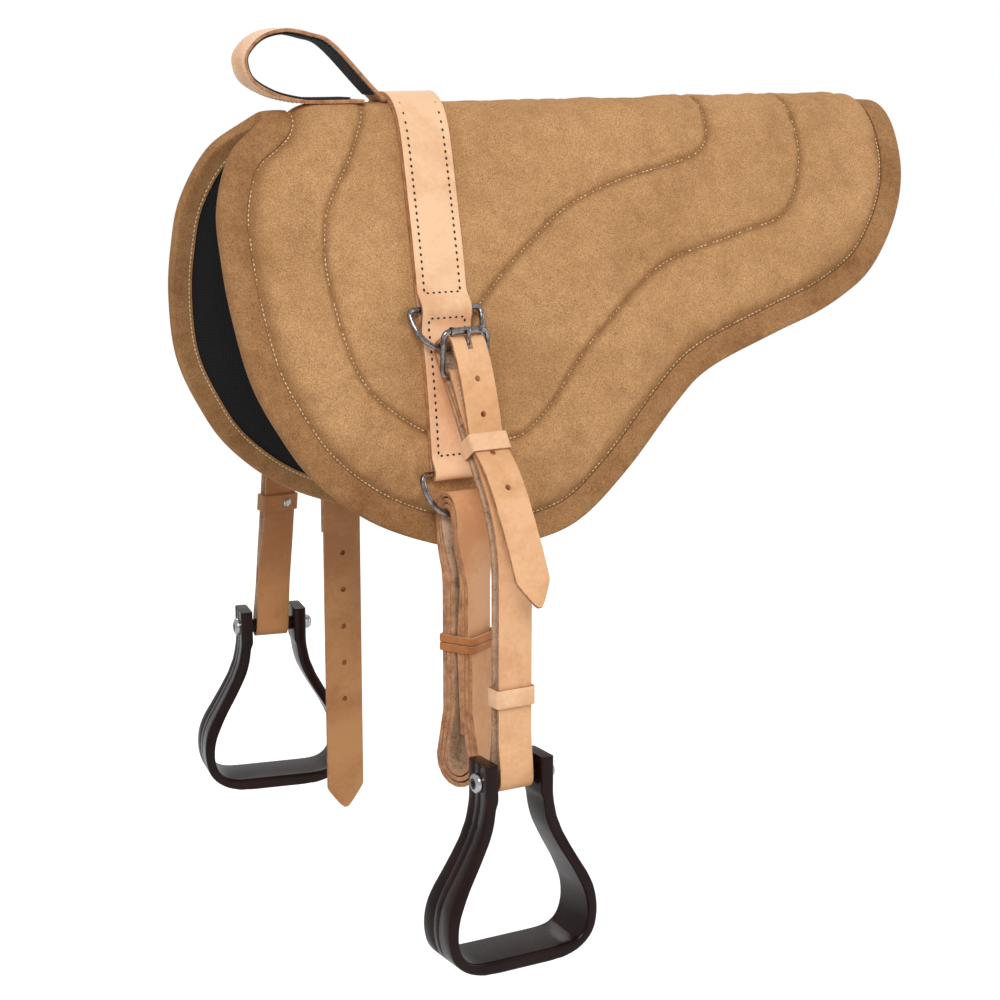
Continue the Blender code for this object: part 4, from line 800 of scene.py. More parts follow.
def new_finish(name, **constants):
    material = bpy.data.materials.new(name)
    material.use_nodes = True
    tree = material.node_tree
    shader = tree.nodes["Principled BSDF"]
    for socket, value in constants.items():
        shader.inputs[socket.replace("_", " ")].default_value = value
    where = node(tree, "TexCoord").outputs["Object"]
    return material, tree, shader, where


def wire_up(tree, shader, **links):
    for socket, source in links.items():
        tree.links.new(source, shader.inputs[socket.replace("_", " ")])


def suede_finish(name, pale, middle, dark, rub=0.0):
    """Brushed nap: soft patches where it lies over, fine specks, and thin creases darkened with
    painted shade. Without rub, painted shade also darkens the quilting channels and the edge's
    stitch line.
    """
    material, tree, shader, where = new_finish(
        name, Roughness=0.92, Sheen_Weight=0.25, Sheen_Roughness=0.45,
        Sheen_Tint=(*pale, 1), Specular_IOR_Level=0.15)
    broad = grain(tree, where, 9, 3, 0.55, 0.3)
    blotch = grain(tree, where, 55, 4, 0.65)
    speck = grain(tree, where, 850, 3, 0.75)
    nap = grain(tree, where, 1500, 2, 0.6)
    mottle = grain(tree, where, 150, 3, 0.7)
    tone = weighted(tree, (broad, 0.50), (blotch, 0.34), (mottle, 0.16))
    colour = ramp(tree, tone, (0.36, middle), (0.58, pale))
    fleck = level(tree, speck, 0.36, 0.60)
    colour = blended(tree, sums(tree, "MULTIPLY", sums(tree, "SUBTRACT", 1.0, fleck), 0.58),
                     colour, dark)
    colour = blended(tree, level(tree, nap, 0.52, 0.75, 0, 0.35), colour, pale)
    # Thin crease lines, darkened in colour as painted shade in the creases; the same lines also
    # dent the bump
    cracks = node(tree, "TexVoronoi", {"Vector": node(tree, "VectorMath", {
        0: where, 1: node(tree, "TexNoise", {"Vector": where, "Scale": 30}).outputs["Color"]},
        operation="ADD").outputs["Vector"], "Scale": 21.0},
        feature="DISTANCE_TO_EDGE").outputs["Distance"]
    thin = level(tree, cracks, 0.004, 0.02, 1, 0)
    some = level(tree, grain(tree, where, 26, 2), 0.58, 0.68)
    crease = sums(tree, "MULTIPLY", thin, some)
    colour = blended(tree, sums(tree, "MULTIPLY", crease, 0.55), colour, dark)
    if rub:
        worn = level(tree, grain(tree, where, 130, 5, 0.75), 0.50, 0.68, 0, rub)
        colour = blended(tree, worn, colour, pale)
    else:
        # Painted shade: darker in the quilting channels and along the edge's stitch line, read
        # from the cover's point attribute
        seam_shade = node(tree, "Attribute", attribute_name="seam_shade").outputs["Fac"]
        colour = blended(tree, sums(tree, "MULTIPLY", seam_shade, 0.75), colour, dark)
    height = weighted(tree, (speck, 0.7), (nap, 0.3), (crease, -0.8))
    wire_up(tree, shader, Base_Color=colour, Normal=relief(tree, height, 0.5 * MM, 0.7))
    return material


def leather_finish(name, colour, deep, roughness=0.5):
    """Vegetable tanned leather, grain side: fine pores, soft clouds and faint scuffs."""
    material, tree, shader, where = new_finish(name, Specular_IOR_Level=0.35)
    clouds = grain(tree, where, 16, 4, 0.6, 0.4)
    fine = grain(tree, where, 260, 3, 0.6)
    pores = node(tree, "TexVoronoi", {"Vector": where, "Scale": 900.0},
                 feature="F1").outputs["Distance"]
    shade = ramp(tree, weighted(tree, (clouds, 0.8), (fine, 0.2)), (0.38, deep), (0.56, colour))
    scuffs = level(tree, grain(tree, node(tree, "Mapping", {
        "Vector": where, "Scale": (1, 1, 0.12)}).outputs["Vector"], 300, 2, 0.7),
        0.66, 0.76, 0, 0.35)
    shade = blended(tree, scuffs, shade, deep)
    height = weighted(tree, (pores, 0.6), (fine, 0.6))
    shine = level(tree, fine, 0.3, 0.7, roughness - 0.06, roughness + 0.08)
    wire_up(tree, shader, Base_Color=shade, Roughness=shine,
            Normal=relief(tree, height, 0.12 * MM, 0.55))
    return material


def flesh_finish(name, colour, dark):
    """The rough side of leather: matted fibres and dark flecks."""
    material, tree, shader, where = new_finish(name, Roughness=0.95, Specular_IOR_Level=0.15)
    fibres = grain(tree, where, 520, 4, 0.75, 0.6)
    clouds = grain(tree, where, 60, 3, 0.6)
    tone = weighted(tree, (fibres, 0.6), (clouds, 0.4))
    lighter = tuple(min(1.0, c * 1.2) for c in colour)
    shade = ramp(tree, tone, (0.36, dark), (0.50, colour), (0.66, lighter))
    wire_up(tree, shader, Base_Color=shade, Normal=relief(tree, fibres, 0.5 * MM, 0.8))
    return material


def edge_finish(name, colour, dark):
    """A cut edge, stained and rubbed down, with the layers of the hide in it. In near-black
    colours it serves as painted shade on the walls of punched holes and slots.
    """
    material, tree, shader, where = new_finish(name)
    layers = grain(tree, where, 900, 3, 0.7)
    patches = grain(tree, where, 120, 3, 0.6)
    tone = weighted(tree, (layers, 0.5), (patches, 0.5))
    shade = ramp(tree, tone, (0.38, dark), (0.62, colour))
    wire_up(tree, shader, Base_Color=shade, Roughness=level(tree, patches, 0.3, 0.7, 0.4, 0.7),
            Normal=relief(tree, layers, 0.2 * MM, 0.6))
    return material


def metal_finish(name, colour, dark, roughness):
    """Plated metal with a cast skin, fine scratches and duller patches."""
    material, tree, shader, where = new_finish(name, Metallic=1.0)
    skin = grain(tree, where, 190, 4, 0.6)
    marks = grain(tree, where, 1500, 2, 0.7)
    dull = grain(tree, where, 45, 3, 0.6)
    shade = ramp(tree, skin, (0.35, dark), (0.65, colour))
    shine = level(tree, dull, 0.35, 0.7, roughness - 0.07, roughness + 0.14)
    height = weighted(tree, (skin, 1.0), (marks, 0.15))
    wire_up(tree, shader, Base_Color=shade, Roughness=shine,
            Normal=relief(tree, height, 0.10 * MM, 0.3))
    return material


def plastic_finish(name, colour, dark, roughness):
    """Moulded plastic: a faint orange peel and handling marks."""
    material, tree, shader, where = new_finish(
        name, Specular_IOR_Level=0.16, Coat_Weight=0.08, Coat_Roughness=0.08)
    peel = grain(tree, where, 420, 2, 0.5)
    clouds = grain(tree, where, 25, 4, 0.6)
    marks = level(tree, grain(tree, where, 700, 2, 0.6), 0.64, 0.74, 0, 0.12)
    shade = ramp(tree, clouds, (0.35, dark), (0.65, colour))
    shine = sums(tree, "ADD", level(tree, clouds, 0.3, 0.7, roughness, roughness + 0.12), marks)
    wire_up(tree, shader, Base_Color=shade, Roughness=shine,
            Normal=relief(tree, peel, 0.15 * MM, 0.25))
    return material


def weave_finish(name, colour, dark, pitch):
    """Woven webbing, on the piece's own pattern."""
    material, tree, shader, _ = new_finish(name, Roughness=0.85)
    pattern = node(tree, "UVMap").outputs["UV"]
    bands = []
    for direction in ("X", "Y"):
        bands.append(node(tree, "TexWave", {"Vector": pattern, "Scale": 0.314 / pitch},
                          wave_type="BANDS", bands_direction=direction).outputs["Fac"])
    checks = node(tree, "TexChecker", {"Vector": pattern, "Scale": 1 / pitch}).outputs["Fac"]
    threads = node(tree, "Mix", {0: checks, 2: bands[0], 3: bands[1]},
                   data_type="FLOAT").outputs[0]
    fuzz = grain(tree, pattern, 2600, 2, 0.6)
    shade = blended(tree, sums(tree, "MULTIPLY", threads, fuzz), dark, colour)
    wire_up(tree, shader, Base_Color=shade, Normal=relief(tree, threads, 0.4 * MM, 0.8))
    return material


def lining_finish(name, colour, dark):
    """Close-knit non-slip lining with small raised dots."""
    material, tree, shader, where = new_finish(name, Roughness=0.9)
    pattern = node(tree, "UVMap").outputs["UV"]
    dots = node(tree, "TexVoronoi", {"Vector": pattern, "Scale": 330.0, "Randomness": 0.1},
                feature="F1").outputs["Distance"]
    fuzz = grain(tree, where, 1400, 3, 0.6)
    shade = blended(tree, level(tree, dots, 0.25, 0.5), colour, dark)
    shade = blended(tree, level(tree, fuzz, 0.45, 0.7, 0, 0.4), shade, colour)
    height = weighted(tree, (fuzz, 0.3), (dots, -1.0))
    wire_up(tree, shader, Base_Color=shade, Normal=relief(tree, height, 0.5 * MM, 0.7))
    return material


def thread_finish(name, colour, dark):
    """Twisted sewing thread."""
    material, tree, shader, where = new_finish(name, Roughness=0.6)
    twist = grain(tree, where, 1700, 2, 0.6)
    shade = ramp(tree, twist, (0.35, dark), (0.6, colour))
    wire_up(tree, shader, Base_Color=shade, Normal=relief(tree, twist, 0.2 * MM, 0.7))
    return material


SUEDE_FINISH = suede_finish("suede", (0.68, 0.385, 0.175), (0.48, 0.255, 0.105),
                            (0.17, 0.07, 0.022))
BINDING_FINISH = suede_finish("suede_binding", (0.48, 0.255, 0.11), (0.29, 0.135, 0.05),
                              (0.10, 0.038, 0.012), rub=0.35)
VEG_TAN = leather_finish("leather", (0.94, 0.60, 0.36), (0.80, 0.45, 0.24))
STIRRUP_TAN = leather_finish("stirrup_leather", (0.86, 0.49, 0.26), (0.70, 0.35, 0.155))
# Painted shade: the off side's leather is a darker copy of the near side's leather, standing in
# for the shade it hangs in
OFF_TAN_PAINTED_SHADE = leather_finish("off_leather_painted_shade", (0.48, 0.22, 0.085), (0.38, 0.165, 0.06))
BILLET_TAN = leather_finish("billet_leather", (0.50, 0.24, 0.09), (0.40, 0.17, 0.06))
LATIGO_TAN = leather_finish("latigo_leather", (0.70, 0.38, 0.19), (0.58, 0.28, 0.12))
FLESH = flesh_finish("flesh_side", (0.60, 0.42, 0.28), (0.24, 0.13, 0.07))
EDGES = edge_finish("cut_edge", (0.62, 0.31, 0.145), (0.26, 0.09, 0.03))
# Near-black walls of punched holes and slots: painted shade inside them
HOLE_SHADE = edge_finish("punched_hole_painted_shade", (0.12, 0.045, 0.018), (0.035, 0.014, 0.007))
NICKEL = metal_finish("nickel", (0.46, 0.45, 0.455), (0.13, 0.125, 0.13), 0.10)
STEEL = metal_finish("steel", (0.66, 0.66, 0.66), (0.45, 0.45, 0.45), 0.22)
BLACKED = metal_finish("blacked_steel", (0.06, 0.06, 0.06), (0.025, 0.025, 0.025), 0.4)
MOULDED = plastic_finish("moulded_plastic", (0.020, 0.0065, 0.005), (0.009, 0.0035, 0.003),
                         0.16)
WEBBING = weave_finish("webbing", (0.035, 0.035, 0.038), (0.008, 0.008, 0.009), 2.2 * MM)
LINING_FINISH = lining_finish("lining", (0.008, 0.008, 0.0085), (0.002, 0.002, 0.0025))
LACE = leather_finish("lace", (0.50, 0.18, 0.05), (0.30, 0.095, 0.025), 0.45)
CREAM = thread_finish("cream_thread", (0.95, 0.80, 0.52), (0.68, 0.49, 0.27))
BLACK = thread_finish("black_thread", (0.012, 0.010, 0.010), (0.004, 0.003, 0.003))
WHITE = thread_finish("white_thread", (0.92, 0.90, 0.84), (0.6, 0.57, 0.5))
STRAP_FINISHES = (VEG_TAN, FLESH, EDGES)
# The off side's finishes carry the painted shade of the off leather
LEATHER_FINISHES = {"near": (STIRRUP_TAN, FLESH, EDGES), "off": (OFF_TAN_PAINTED_SHADE, FLESH, EDGES)}
BILLET_FINISHES = (BILLET_TAN, FLESH, EDGES)
LATIGO_FINISHES = (LATIGO_TAN, FLESH, EDGES)


# The pad

PATTERN_FRONT = EDGE[:, 0].min()
PATTERN_LENGTH, PATTERN_DEPTH = EDGE[:, 0].max() - PATTERN_FRONT, EDGE[:, 1].max()


def pattern_grid(name, step):
    """A grid over one half of the flat pattern, with its count of columns and rows."""
    columns, rows = round(PATTERN_LENGTH / step), round(PATTERN_DEPTH / step)
    piece, share = grid_of(name, columns, rows)
    return piece, share, columns, rows


def pattern_points(share):
    """A grid's shares spread over one half of the flat pattern."""
    return PATTERN_FRONT + share[:, 0] * PATTERN_LENGTH, share[:, 1] * PATTERN_DEPTH


def blown_up(side):
    """How far the suede lifts between its seams, from cloth with air behind it."""
    cloth, share, columns, rows = pattern_grid("blown_cloth", DRAPE_STEP)
    x, s = pattern_points(share)
    inside = within(x, s, EDGE) | (distance_to(EDGE, x, s) < DRAPE_STEP)
    start = on_pad(x, side * s, top_height(x, s, side))
    put_points(cloth, start)
    if side < 0:
        turn_over(cloth)
    near = channel_gap(x, s)
    sewn = ((near < 0.7 * DRAPE_STEP) | (distance_to(EDGE, x, s) < STITCH_INSET + 1 * MM)
            | (s < 0.7 * DRAPE_STEP) | ~inside | (clear_of_strap(x, s) < 0.2))
    group = cloth.vertex_groups.new(name="sewn")
    group.add([int(i) for i in np.nonzero(sewn)[0]], 1.0, "REPLACE")
    modifier = cloth.modifiers.new("cloth", "CLOTH")
    settings = modifier.settings
    settings.vertex_group_mass = "sewn"
    settings.quality = 5
    settings.shrink_min = CLOTH_SHRINK
    settings.tension_stiffness = settings.compression_stiffness = CLOTH_STRETCH
    settings.bending_stiffness = CLOTH_BEND
    settings.use_pressure = True
    settings.uniform_pressure_force = CLOTH_PRESSURE
    settings.effector_weights.gravity = 0
    modifier.point_cache.frame_start = 1
    modifier.point_cache.frame_end = CLOTH_MOMENTS
    for moment in range(1, CLOTH_MOMENTS + 1):
        bpy.context.scene.frame_set(moment)
    shown = cloth.evaluated_get(bpy.context.evaluated_depsgraph_get())
    flat = np.zeros(len(share) * 3)
    shown.data.vertices.foreach_get("co", flat)
    bpy.context.scene.frame_set(1)
    moved = flat.reshape(-1, 3) - start
    moved *= (clear_of_strap(x, s) * inside)[:, None]
    size = np.linalg.norm(moved, axis=1)
    moved *= (np.minimum(size, DRAPE_CAP) / np.maximum(size, 1e-9))[:, None]
    bpy.data.objects.remove(cloth)
    order = np.lexsort((share[:, 0], share[:, 1]))
    return moved[order].reshape(rows + 1, columns + 1, 3)


def read_grid(field, share):
    """Values between the points of a grid."""
    rows, columns = field.shape[0] - 1, field.shape[1] - 1
    u, v = share[:, 0] * columns, share[:, 1] * rows
    i = np.minimum(u.astype(int), columns - 1)
    j = np.minimum(v.astype(int), rows - 1)
    u, v = (u - i)[:, None], (v - j)[:, None]
    return mix(mix(field[j, i], field[j, i + 1], u),
               mix(field[j + 1, i], field[j + 1, i + 1], u), v)


def trimmed(name, step, margin):
    """A grid over one half of the pattern, cut off near the bound edge."""
    piece, share, _, _ = pattern_grid(name, step)
    x, s = pattern_points(share)
    keep = within(x, s + WELD, EDGE) & (distance_to(EDGE, x, s) > margin)
    edit(piece, select="DESELECT")
    piece.data.vertices.foreach_set("select", ~keep)
    bpy.ops.object.mode_set(mode="EDIT")
    bpy.ops.mesh.delete(type="VERT")
    bpy.ops.object.mode_set(mode="OBJECT")
    return piece, share[keep]


def suede_cover(name, side):
    """One half of the quilted top, with its underside a suede's thickness below."""
    cover, share = trimmed("quilted_suede_" + name, COVER_STEP, 3 * MM)
    x, s = pattern_points(share)
    height = top_height(x, s, side)
    lift = np.zeros((len(x), 3))
    lift = read_grid(blown_up(side), share)
    s = np.maximum(s, GAP / 2)
    put_points(cover, on_pad(x, side * s, height) + lift)
    put_uv(cover, np.stack([x, s], axis=1))
    near = channel_gap(x, s)
    edge_gap = distance_to(EDGE, x, s)
    from_edge = np.maximum(edge_gap - STITCH_INSET, 0)
    # Painted shade for the suede's colour: strongest in the quilting channels and along the
    # sunken stitch line near the edge
    painted_seam_shade = np.maximum(0.85 * np.exp(-(near / CHANNEL_SHADE_REACH) ** 2),
                       0.8 * np.exp(-(from_edge / EDGE_SHADE_REACH) ** 1.5))
    seam_shade = cover.data.attributes.new("seam_shade", "FLOAT", "POINT")
    seam_shade.data.foreach_set("value", painted_seam_shade.astype(np.float32))
    if side < 0:
        turn_over(cover)
    use_modifier(cover, "SOLIDIFY", thickness=SUEDE, offset=-1)
    done(cover, "root", [SUEDE_FINISH], ["suede_cover_" + name], angle=70)


def lining_and_foam():
    """The pad's underside and the foam in it, as one closed form."""
    halves = []
    for side in (-1, 1):
        half, share = trimmed("pad_underside", 2 * COVER_STEP, 2 * MM)
        x, s = pattern_points(share)
        put_points(half, np.stack([x, side * s, np.zeros(len(x))], axis=1))
        if side < 0:
            turn_over(half)
        halves.append(half)
    pick(*halves)
    bpy.ops.object.join()
    lining = bpy.context.object
    face_outwards(lining)
    flat = points_of(lining)
    count = len(flat)
    put_uv(lining, flat[:, :2])
    use_modifier(lining, "SOLIDIFY", thickness=MM, offset=-1)
    x, s = points_of(lining)[:, 0], points_of(lining)[:, 1]
    top = top_height(x, s) - SUEDE - 2 * GAP
    height = np.where(np.arange(len(x)) < count, 0.0, top)
    put_points(lining, on_pad(x, s, height))
    face_outwards(lining)
    done(lining, "root", [LINING_FINISH], ["lining", "foam_core"], angle=70)


def edge_loop(step):
    """The whole cut edge, near half first, and the direction inwards at each point."""
    half = evenly(EDGE, step)
    loop = np.vstack([half * (1, -1), half[-2:0:-1]])
    along = unit(np.roll(loop, -1, axis=0) - np.roll(loop, 1, axis=0))
    return loop, np.stack([-along[:, 1], along[:, 0]], axis=1)


def edge_binding():
    """Suede turned over the cut edge, a little slack and wavy where it was pulled in."""
    loop, inwards = edge_loop(3 * MM)
    top, under = EDGE_HEIGHT + GAP, -BINDING_LIFT
    middle = (top + under) / 2
    profile = [(BINDING_LEAF, top, 0), (BINDING_LEAF + 0.2 * MM, top + 0.7 * BINDING, 0.6),
               (BINDING_LEAF - 0.6 * MM, top + BINDING, 1)]
    for share in (0.85, 0.7, 0.55, 0.4, 0.25, 0.12):
        crown = BINDING_CROWN * math.sin(math.pi * share)
        profile.append((BINDING_LEAF * share, top + BINDING + crown, 1))
    wall = BINDING_WALL - BINDING_SLACK - BINDING
    half_height = (top - under) / 2 + BINDING
    for angle in np.linspace(0, math.pi, 11):
        roll = (BINDING_ROLL + BINDING_WALL) * max(math.sin(angle), 0.0) ** 0.8
        profile.append((wall - roll, middle + half_height * math.cos(angle), 0))
    profile += [(UNDER_LEAF * share, under - BINDING, 0) for share in (0.2, 0.6, 1.0)]
    profile += [(UNDER_LEAF, under, 0), (-BINDING_SLACK, under, 0), (-BINDING_SLACK, top, 0)]
    distance, height, soft = np.array(profile).T
    count, ring = len(loop), len(profile)
    wobble = ripple(loop[:, 0], loop[:, 1], 60, 2.0)
    puff = ripple(loop[:, 0], loop[:, 1], 110, 5.0)
    at_leaf = soft * (distance > 0.8 * BINDING_LEAF)
    across = distance[None, :] + BINDING_WAVE * wobble[:, None] * at_leaf[None, :]
    places = loop[:, None, :] + across[..., None] * inwards[:, None, :]
    heights = height[None, :] + BINDING_PUFF * puff[:, None] * soft[None, :]
    points = on_pad(places[..., 0], places[..., 1], heights).reshape(-1, 3)
    binding = mesh_piece("suede_binding", points, faces_between(count, ring))
    face_outwards(binding)
    done(binding, "root", [BINDING_FINISH], ["edge_binding"], angle=50)


def sewn_row(line, heights_of, pitch):
    """Places, directions and normals for stitches along a line of the pattern."""
    marks = evenly(line, pitch)
    ahead = on_pad(marks[1:, 0], marks[1:, 1], heights_of(marks[1:, 0], marks[1:, 1]))
    behind = on_pad(marks[:-1, 0], marks[:-1, 1], heights_of(marks[:-1, 0], marks[:-1, 1]))
    centres = (ahead + behind) / 2
    along = unit(ahead - behind)
    middle = (marks[1:] + marks[:-1]) / 2
    lifted = on_pad(middle[:, 0], middle[:, 1], 20 * MM)
    normals = lifted - on_pad(middle[:, 0], middle[:, 1], 0)
    normals -= (normals * along).sum(axis=1)[:, None] * along
    return centres, along, unit(normals)


def all_rows(rows):
    return [np.vstack(part) for part in zip(*rows)]


def pad_stitching():
    """Cream thread along the bound edge, above and beneath, and down the quilting channels."""
    rows, under = [], []
    edge = evenly(EDGE, 3 * MM)
    for side in (-1, 1):
        for line in (inset(edge, STITCH_INSET), FRONT_CHANNEL, REAR_CHANNEL):
            rows.append(sewn_row(np.asarray(line) * (1, side),
                                 lambda x, s: top_height(x, s, side), STITCH_PITCH))
        line = inset(edge, UNDER_LEAF - 2.5 * MM) * (1, side)
        under.append(sewn_row(line, lambda x, s: 0 * x - BINDING_LIFT - BINDING - THREAD_LIFT,
                              STITCH_PITCH))
    below, ahead, up = all_rows(under)
    stitches("cream_stitching_beneath", below, ahead, -up, UNDER_STITCH, UNDER_STITCH_WIDTH,
             CREAM, "root", "suede_binding")
    centres, along, normals = all_rows(rows)
    keep = np.abs(centres[:, 0] - RIG_X - rig_slant(centres[:, 2])) >= RIG_WIDTH / 2
    stitches("cream_stitching", centres[keep] + STITCH_LIFT * normals[keep], along[keep],
             normals[keep], STITCH, STITCH_WIDTH, CREAM, "root", "suede")


# Rigging strap

def rig_outer(s):
    near = np.minimum(np.abs(s - UPPER_BAR), np.abs(s - LOWER_BAR))
    return RIG_OUTER + (TUNNEL_OUTER - RIG_OUTER) * (1 - smooth(near / TUNNEL_HALF))


def rig_slant(up):
    """How much further back the strap lies at this height, above the upper rings."""
    low = on_pad(RIG_X, UPPER_BAR - TUNNEL_HALF, RIG_OUTER)[2]
    return RIG_SLANT * np.clip((up - low) / (RIG_OUTER - low), 0, 1)


def bar_centre(side, bar):
    return Vector(on_pad(RIG_X, side * bar, BAR_HEIGHT))


def rigging_strap():
    """One strap turned back round both lower bars, its plies sewn together."""
    stations = np.r_[np.arange(0, 60, 1.0), np.arange(60, 1000 * LOWER_BAR, 2.5)] * MM
    lean = float(slope(0.0, LOWER_BAR))
    loop = []
    for side in (-1, 1):
        outer = on_pad(RIG_X, side * stations, rig_outer(stations) - RIG_PLY / 2)
        inner = on_pad(RIG_X, side * stations, RIG_INNER + RIG_PLY / 2)
        centre = bar_centre(side, LOWER_BAR)
        radius = BAR_BORE + RIG_PLY / 2
        turn = []
        for i in range(13):
            angle = math.pi * i / 12
            across, down = math.cos(angle) * radius, math.sin(angle) * radius
            turn.append((RIG_X, centre.y + side * (across * math.sin(lean)
                                                   + down * math.cos(lean)),
                         centre.z + across * math.cos(lean) - down * math.sin(lean)))
        half = [tuple(p) for p in outer] + turn + [tuple(p) for p in inner[::-1]]
        loop = loop + half[1:-1] if side < 0 else loop[::-1] + half[:-1]
    path = [(y, z) for _, y, z in loop]
    path.append(path[0])
    piece = strap("rigging_strap", path, RIG_WIDTH, RIG_PLY, STRAP_FINISHES, rows=16,
                  closed=True)
    lay(piece, lambda out, up, across: np.stack([RIG_X + across + rig_slant(up), out, up],
                                                axis=1))
    done(piece, "root", replaces=["rigging_strap"])


def rig_stitching():
    """Black thread round the long box over the spine and the box on each flap."""
    rows = []
    half = RIG_WIDTH / 2 - RIG_STITCH_INSET
    front, rear = RIG_X - half, RIG_X + half
    lines = [[(x, start), (x, end)] for x in (front, rear)
             for start, end in ((0, RIG_BOX_END), RIG_BOX)]
    lines += [[(front, s), (rear, s)] for s in (RIG_BOX_END, *RIG_BOX)]
    for side in (-1, 1):
        rows += [sewn_row(np.array(line) * (1, side), lambda _, s: rig_outer(np.abs(s)),
                          RIG_STITCH_PITCH) for line in lines]
    centres, along, normals = all_rows(rows)
    centres[:, 0] += rig_slant(centres[:, 2])
    stitches("black_stitching", centres, along, normals, RIG_STITCH, RIG_STITCH_WIDTH, BLACK,
             "root", "leather", 0.25)


# Rings

def ring_line():
    points = []
    steps = 60
    for i in range(steps + 1):
        angle = math.pi * i / steps
        across = math.copysign(abs(math.cos(angle)) ** (2 / RING_POWER), math.cos(angle))
        down = max(math.sin(angle), 0.0) ** (2 / RING_POWER)
        points.append((across * RING_HALF, 0.0, -down * RING_DEPTH))
    bar = RING_HALF - 2 * RING_WIRE
    corner = RING_WIRE
    body = [p for p in points if p[2] < -2 * corner]
    right = [(RING_HALF - corner * 2 * (1 - math.sin(a)), 0.0,
              -corner * 2 * (1 - math.cos(a))) for a in np.linspace(0, math.pi / 2, 7)]
    left = [(-x, y, z) for x, y, z in right[::-1]]
    bars = [(x, 0.0, 0.0) for x in np.linspace(-bar, bar, 10)[1:-1]]
    return body + left + bars + right


def ring(name, side, bar, lean):
    piece = wire(name, ring_line(), RING_WIRE, True, 5)
    moved_by(piece, Matrix.Translation(bar_centre(side, bar))
             @ Euler((side * lean, 0, 0)).to_matrix().to_4x4())
    done(piece, name, [NICKEL], [name], angle=60)


def bow_centre(side, bar, lean):
    return bar_centre(side, bar) + Vector((0, side * math.sin(lean),
                                           -math.cos(lean))) * RING_DEPTH


# Stirrup leathers

def hang_angle(side, down):
    run = side["plumb_start"] - side["lean_end"]
    return side["lean"] * (1 - smooth((down - side["lean_end"]) / run))


def hang_table(side):
    """How far out and down a leather has come, at even steps along it."""
    angles = hang_angle(side, (np.arange(TABLE_STEPS) + 0.5) * TABLE_STEP)
    reach = np.arange(TABLE_STEPS + 1) * TABLE_STEP
    return reach, *(np.r_[0, np.cumsum(way(angles)) * TABLE_STEP] for way in (np.sin, np.cos))


for each_side in SIDES.values():
    each_side["table"] = hang_table(each_side)


def hang(side, out, down, across):
    """Places in the world from a leather's own measures."""
    out, down, across = np.broadcast_arrays(*(np.asarray(v, float)
                                              for v in (out, down, across)))
    start = bow_centre(side["sign"], UPPER_BAR, UPPER_RING_LEAN)
    reach, outs, downs = side["table"]
    above = np.minimum(down, 0.0)
    line_out = np.interp(down, reach, outs) + above * math.sin(side["lean"])
    line_up = -np.interp(down, reach, downs) - above * math.cos(side["lean"])
    angle = hang_angle(side, down)
    turn = side["turn"] * smooth((down - TURN_START) / (TURN_END - TURN_START))
    away = out * np.cos(angle)
    x = across * np.cos(turn) - away * np.sin(turn)
    away = across * np.sin(turn) + away * np.cos(turn)
    drift = side["drift"] * np.maximum(down, 0.0) / side["bolt_drop"]
    return np.stack([RIG_X + drift + x, side["sign"] * (abs(start.y) + line_out + away),
                     start.z + line_up + out * np.sin(angle)], axis=-1)


def free_line(side):
    """Middle line of the free end, from its tip up over the heel bar to the ring."""
    run = side["tip_drop"] - FLARE_START
    line = [(FREE_PLY + side["flare"] * out, FLARE_START + run * down)
            for down, out in FLARE_SHARES[::-1]]
    return line + [(FREE_PLY, FREE_JOINS)] + [(out * BULGE, down) for out, down in BULGE_LINE]


def leather_path(side):
    bolt = side["bolt_drop"]
    path = free_line(side)
    path += arc((0, 0), -BACK_PLY, -math.radians(76), -math.pi, 6)
    path += lead(BACK_PLY, LOOP_CENTRE - LOOP_RADIUS, bolt - LOOP_RUN, bolt, 4)
    path += arc((LOOP_CENTRE, bolt), LOOP_RADIUS, math.pi, 0, 10)[1:]
    path += lead(MIDDLE_PLY, LOOP_CENTRE + LOOP_RADIUS, bolt - LOOP_RUN, bolt, 4)[-2::-1]
    path += lead(MIDDLE_PLY, HEEL_OFFSET + HEEL_RADIUS, PLIES_JOIN, HEEL_DROP, 3)
    path += arc((HEEL_OFFSET, HEEL_DROP), HEEL_RADIUS, 0, -math.pi, 8)[1:]
    path += lead(HEEL_OFFSET - HEEL_RADIUS, CHAPE_PLY, HEEL_DROP, PLIES_JOIN, 3, 1)
    return path + [(CHAPE_PLY, CHAPE_END)]


def stirrup_leather(name, side):
    body = name + "_stirrup_leather"
    piece = strap(body, leather_path(side), LEATHER_WIDTH, LEATHER, LEATHER_FINISHES[name],
                  tip=TIP_TAPER)
    outs, downs = np.array(free_line(side)[::-1]).T
    cutters = []
    for hole in HOLE_DROPS:
        place = (float(np.interp(hole, downs, outs)), hole, 0)
        cutters.append(peg(LEATHER_HOLE, place, (1, 0, 0), 1.6 * LEATHER))
    cutters.append(block((BULGE / 2, SLOT_TOP, -SLOT_HALF),
                         (BULGE + LEATHER, SLOT_BOTTOM, SLOT_HALF)))
    reach = HEEL_RADIUS + LEATHER / 2 + GAP / 2
    cutters.append(block((HEEL_OFFSET - reach, HEEL_DROP - reach, -SLOT_HALF),
                         (HEEL_OFFSET + reach, HEEL_DROP + FOLD_SLOT_RUN, SLOT_HALF)))
    # The cutters give the walls of the holes and slots a near-black painted shade
    for cutter in cutters:
        cutter.data.materials.append(HOLE_SHADE)
    hollow_out(piece, cutters)
    lay(piece, lambda *place: hang(side, *place))
    done(piece, body, replaces=[body])


